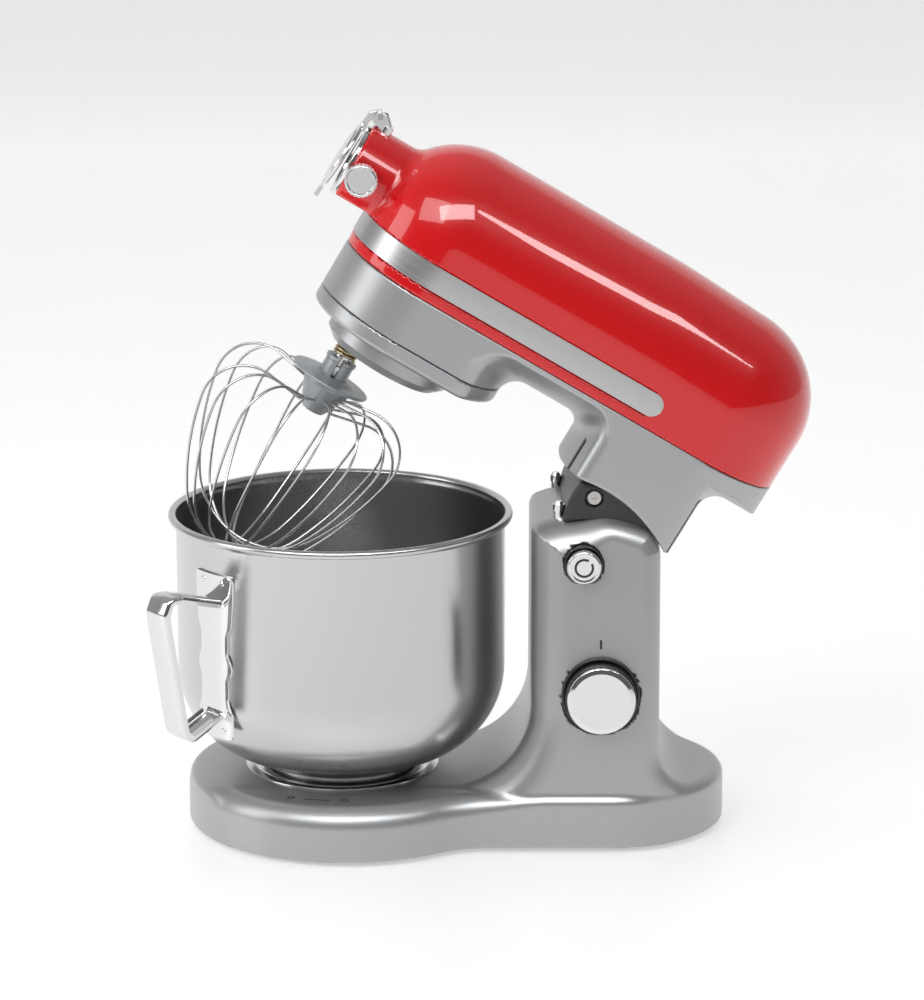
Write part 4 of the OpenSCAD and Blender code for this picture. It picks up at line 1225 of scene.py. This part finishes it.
    def build(self) -> None:
        """Builds the bowl's pieces."""
        at = place_matrix(Place.STAND)
        make_piece("bowl_wall", self.shell(), at, "bowl", POLISHED_STEEL, ["bowl_shell"], crease=50)
        make_piece("bowl_foot_ring", self.foot(), at, "bowl", POLISHED_STEEL, ["bowl_foot"])
        own = at @ Matrix.Rotation(math.radians(180 + self.turn), 4, "Z")
        make_piece("handle_strap", self.handle(), own, "bowl", BRIGHT_TRIM, ["bowl_handle"], crease=40)
        make_piece(
            "handle_bracket", self.plate().plus(self.welds()), own, "bowl", BRIGHT_TRIM, ["handle_plates"],
            crease=40,
        )


@dataclass
class Whisk:
    """The balloon whisk on its hub."""

    loops: int = 8
    wire: float = 0.9
    shoulder: float = 28.0
    side: float = 180.0

    def loop_path(self) -> Array:
        """Points along one loop, from end to end."""
        sx, sz, tip, lean = 41.5, 146.0, 53.0, math.radians(10)
        bx, bz = sx - (
            self.side - self.shoulder
        ) * math.cos(lean), sz + (self.side - self.shoulder) * math.sin(lean)
        k = bz - tip
        ar = (self.side**2 - bx**2 - k**2) / (2 * (self.side - k))
        low = math.atan2(tip + ar - bz, -bx)
        arcs = (
            (0.0, tip + ar, ar, -math.pi / 2, low, 12),
            (bx, bz, self.side, low, -lean, 10),
            (sx, sz, self.shoulder, -lean, math.radians(100), 16),
        )
        half = []
        for cx, cz, r, a0, a1, n in arcs:
            half += [
                (cx + r * math.cos(a), cz + r * math.sin(a))
                for a in np.linspace(a0, a1, n, endpoint=False)
            ]
        ex, ez = sx + self.shoulder * math.cos(
            math.radians(100),
        ), sz + self.shoulder * math.sin(math.radians(100))
        for run in np.linspace(0, 26.6, 8):
            half.append((ex - run * math.sin(math.radians(100)), ez + run * math.cos(math.radians(100))))
        line = [(-x, z) for x, z in half[:0:-1]] + half
        return np.array([(x, 0.0, z) for x, z in line])

    def wires(self) -> Skin:
        """Bends every loop of the whisk."""
        path = self.loop_path()
        parts = []
        for i in range(self.loops):
            turn = Matrix.Rotation(math.radians(180 * i / self.loops + 8), 4, "Z")
            parts.append(tube(path, self.wire, (0, 1, 0), 12).moved(shift(0, 0, 1.85 * i - 3) @ turn))
        return gathered(parts)

    def hub(self) -> Skin:
        """Turns the hub with its ribbed skirt and slotted neck."""
        skirt = lathe(
            closed(
                [
                    (6.1, 163.2, 0.3), (7.4, 163.2, 1.2), (11.8, 170.6, 2.0), (13.2, 174.0, 1.5),
                    (16.9, 182.4, 1.6), (16.9, 185.8, 0.4), (6.1, 185.8, 0.3),
                ]
            ), 96
        )
        plug = lathe([(0, 163.4), (6.3, 163.4), (6.3, 174.6), (0, 174.6)], 40, whole=False)
        ring = closed(
            [
                (6.1, 0, 0.2), (9.9, 0, 0), (9.9, 14.6, 0.6), (10.7, 15.2, 0.4), (10.7, 17.6, 0.7),
                (6.1, 17.6, 0.5),
            ]
        )
        skin = skirt.plus(plug)
        for start in (10.5, 190.5):
            turns = np.radians(np.linspace(start, start + 159, 40))
            outs = np.stack([np.cos(turns), np.sin(turns), 0 * turns], 1)
            up = np.tile([0.0, 0.0, 1.0], (len(turns), 1))
            cheek = sweep(ring, np.zeros((len(turns), 3)), outs, up)
            cheek.points[:, 2] += 185.8
            turned = Skin(
                cheek.points, [f[::-1] for f in cheek.faces],
            ).moved(Matrix.Rotation(math.pi / 2, 4, "Z"))
            skin = skin.plus(turned)
        for i in range(12):
            rib = slab(
                closed([(10.5, 172.5, 0), (16.0, 181.5, 0), (17.4, 184.8, 0), (10.5, 184.8, 0)], 2), -0.7,
                0.7,
            )
            skin = skin.plus(rib.upright().moved(Matrix.Rotation(math.radians(30 * i + 4), 4, "Z")))
        return skin

    def build(self) -> None:
        """Builds the whisk's pieces."""
        at = place_matrix(Place.HEAD) @ shift(TOOL_X, 0, 0)
        make_piece("whisk_loops", self.wires(), at, "whisk", TOOL_STEEL, ["whisk_wires"], crease=60)
        make_piece("whisk_core", self.hub(), at, "whisk", WHISK_GREY, ["whisk_hub"])
        drip = closed(
            [
                (10.1, 186.2, 0.2), (26.8, 186.2, 0.8), (27.9, 187.6, 0.7), (27.2, 188.4, 0.5),
                (17.5, 188.7, 2.0), (13.0, 190.6, 1.5), (10.1, 190.8, 0.3),
            ]
        )
        make_piece("whisk_drip_collar", lathe(drip, 112), at, "whisk", WHISK_GREY, ["whisk_collar"])


@dataclass
class Drive:
    """What shows of the planetary drive under the head."""

    def spring(self) -> Skin:
        """Winds the spring on the tool shaft."""
        turn = np.linspace(0, 2 * math.pi * 3.0, 120)
        z = 205.2 + (turn / turn[-1]) * 7.2
        path = np.stack([7.35 * np.cos(turn), 7.35 * np.sin(turn), z], 1)
        return tube(path, 1.05, (0, 0, 1), 12)

    def build(self) -> None:
        """Builds the spring."""
        at = place_matrix(Place.HEAD) @ shift(TOOL_X, 0, 0)
        make_piece("shaft_spring", self.spring(), at, "tool", SPRING_STEEL, ["tool_spring"], crease=60)


# ---------------------------------------------------------------- what stays from the frame


def dress_frame() -> None:
    """Gives every CAD node its slot's finish."""
    slots = {s["node"]: s["material_slot"] for s in frame["record"]["subparts"]}
    for name, node in frame["nodes"].items():
        finish = FINISHES[slots[name]]
        node.data.materials.clear()
        node.data.materials.append(finish.build())
        LOG.info("frame piece %s in %s", name, finish.slot)


# ---------------------------------------------------------------- studio


class Lit(Enum):
    """What a panel lights."""

    ALL = "all"
    DULL = "dull"
    GLOSSY = "glossy"


@dataclass
class Studio:
    """The floor, the lights and the camera."""

    floor_tone: float = 0.8
    glow: float = 0.46
    front_tone: float = 0.35
    seat: tuple[float, float, float] = (-0.0142, -2.4585, 0.842)
    down: float = 14.2
    lens: float = 137.3

    def floor(self) -> None:
        """Lays the pale floor and its curved back."""
        line = rounded([(-4.0, 0.0, 0), (4.5, 0.0, 1.6), (4.5, 4.5, 0)], 24)
        points = [(x, y, z) for y, z in line for x in (-6.0, 6.0)]
        faces = [[2 * i, 2 * i + 1, 2 * i + 3, 2 * i + 2] for i in range(len(line) - 1)]
        mesh = bpy.data.meshes.new("floor")
        mesh.from_pydata(points, [], faces)
        mesh.shade_smooth()
        paint = Finish(
            "floor_paint", (grey(self.floor_tone - 0.02), grey(self.floor_tone)), (0.35, 0.45), scale=60.0,
            relief=0.0,
        )
        mesh.materials.append(paint.build())
        shader = mesh.materials[0].node_tree.nodes["Principled BSDF"]
        shader.inputs["Emission Color"].default_value = (1, 1, 1, 1)
        shader.inputs["Emission Strength"].default_value = self.glow
        sheet = bpy.data.objects.new("floor", mesh)
        bpy.context.scene.collection.objects.link(sheet)

    def lamp(
        self, name: str, where: Sequence[float], at: Sequence[float], size: tuple[float, float],
        power: float, lit: Lit = Lit.ALL
    ) -> None:
        """Hangs one soft panel.

        Args:
            name: The panel's name.
            where: Its place, in metres.
            at: What it faces.
            size: Its width and height.
            power: Its power in watts.
            lit: Which kind of surface it lights.
        """
        data = bpy.data.lights.new(name, "AREA")
        data.shape = "RECTANGLE"
        data.size, data.size_y = size
        data.energy = power
        lamp = bpy.data.objects.new(name, data)
        lamp.location = where
        lamp.visible_diffuse = lit is not Lit.GLOSSY
        lamp.visible_glossy = lit is not Lit.DULL
        lamp.rotation_euler = (Vector(at) - Vector(where)).to_track_quat("-Z", "Y").to_euler()
        bpy.context.scene.collection.objects.link(lamp)

    def sky(self) -> None:
        """Sets the even light of the room, darker at the sides."""
        world = bpy.data.worlds.new("room")
        world.use_nodes = True
        bpy.context.scene.world = world
        tree = world.node_tree
        back = tree.nodes["Background"]
        back.inputs["Strength"].default_value = 1.0
        where = tree.nodes.new("ShaderNodeTexCoord")
        split = tree.nodes.new("ShaderNodeSeparateXYZ")
        tree.links.new(where.outputs["Generated"], split.inputs[0])
        ramp = tree.nodes.new("ShaderNodeValToRGB")
        ramp.color_ramp.interpolation = "EASE"
        stops = ((0.0, 0.3), (0.45, 0.3), (0.56, 0.36), (1.0, 0.4))
        while len(ramp.color_ramp.elements) < len(stops):
            ramp.color_ramp.elements.new(0.5)
        for element, (spot, tone) in zip(ramp.color_ramp.elements, stops):
            element.position = spot
            element.color = (tone, tone, tone, 1)
        scale = tree.nodes.new("ShaderNodeMapRange")
        scale.inputs["From Min"].default_value = -1.0
        tree.links.new(split.outputs["Z"], scale.inputs["Value"])
        tree.links.new(scale.outputs["Result"], ramp.inputs["Fac"])
        side = tree.nodes.new("ShaderNodeMapRange")
        side.interpolation_type = "SMOOTHSTEP"
        side.inputs["From Min"].default_value = -0.7
        side.inputs["From Max"].default_value = 0.5
        side.inputs["To Min"].default_value = self.front_tone
        tree.links.new(split.outputs["Y"], side.inputs["Value"])
        shade = tree.nodes.new("ShaderNodeVectorMath")
        shade.operation = "SCALE"
        tree.links.new(ramp.outputs["Color"], shade.inputs[0])
        tree.links.new(side.outputs["Result"], shade.inputs["Scale"])
        tree.links.new(shade.outputs["Vector"], back.inputs["Color"])

    def camera(self) -> None:
        """Stands the camera at the picture's angle."""
        data = bpy.data.cameras.new("camera")
        data.lens = self.lens
        data.sensor_width = 36.0
        data.sensor_fit = "AUTO"
        data.clip_end = 30.0
        camera = bpy.data.objects.new("camera", data)
        camera.location = self.seat
        camera.rotation_euler = (math.radians(90 - self.down), 0, 0)
        bpy.context.scene.collection.objects.link(camera)
        bpy.context.scene.camera = camera

    def build(self) -> None:
        """Builds the studio."""
        self.floor()
        self.sky()
        self.camera()
        self.lamp("key_panel", (-0.9, -1.3, 1.7), (0, 0, 0.3), (1.2, 1.0), 12)
        self.lamp("top_panel", (0.2, 0.3, 2.2), (0, 0, 0.2), (2.4, 1.6), 13, Lit.DULL)
        self.lamp("side_panel", (-1.8, -0.5, 0.9), (0, 0, 0.25), (0.8, 1.2), 8)
        self.lamp("front_gloss", (0.02, -0.98, 1.22), (-0.05, 0, 0.4), (0.95, 0.42), 10, Lit.GLOSSY)
        self.lamp("rear_gloss", (0.86, -0.85, 1.28), (0.12, 0, 0.35), (0.5, 0.17), 2.6, Lit.GLOSSY)
        scene = bpy.context.scene
        scene.view_settings.view_transform = "Standard"


def main() -> None:
    """Builds the mixer piece by piece, then the studio."""
    logging.basicConfig(level=logging.INFO, format="%(message)s")
    dress_frame()
    for part in (Stand(), Controls(), Head(), Outlet(), Bowl(), Whisk(), Drive(), Studio()):
        part.build()
        LOG.info("%s built", type(part).__name__)


if __name__ == "__main__":
    main()
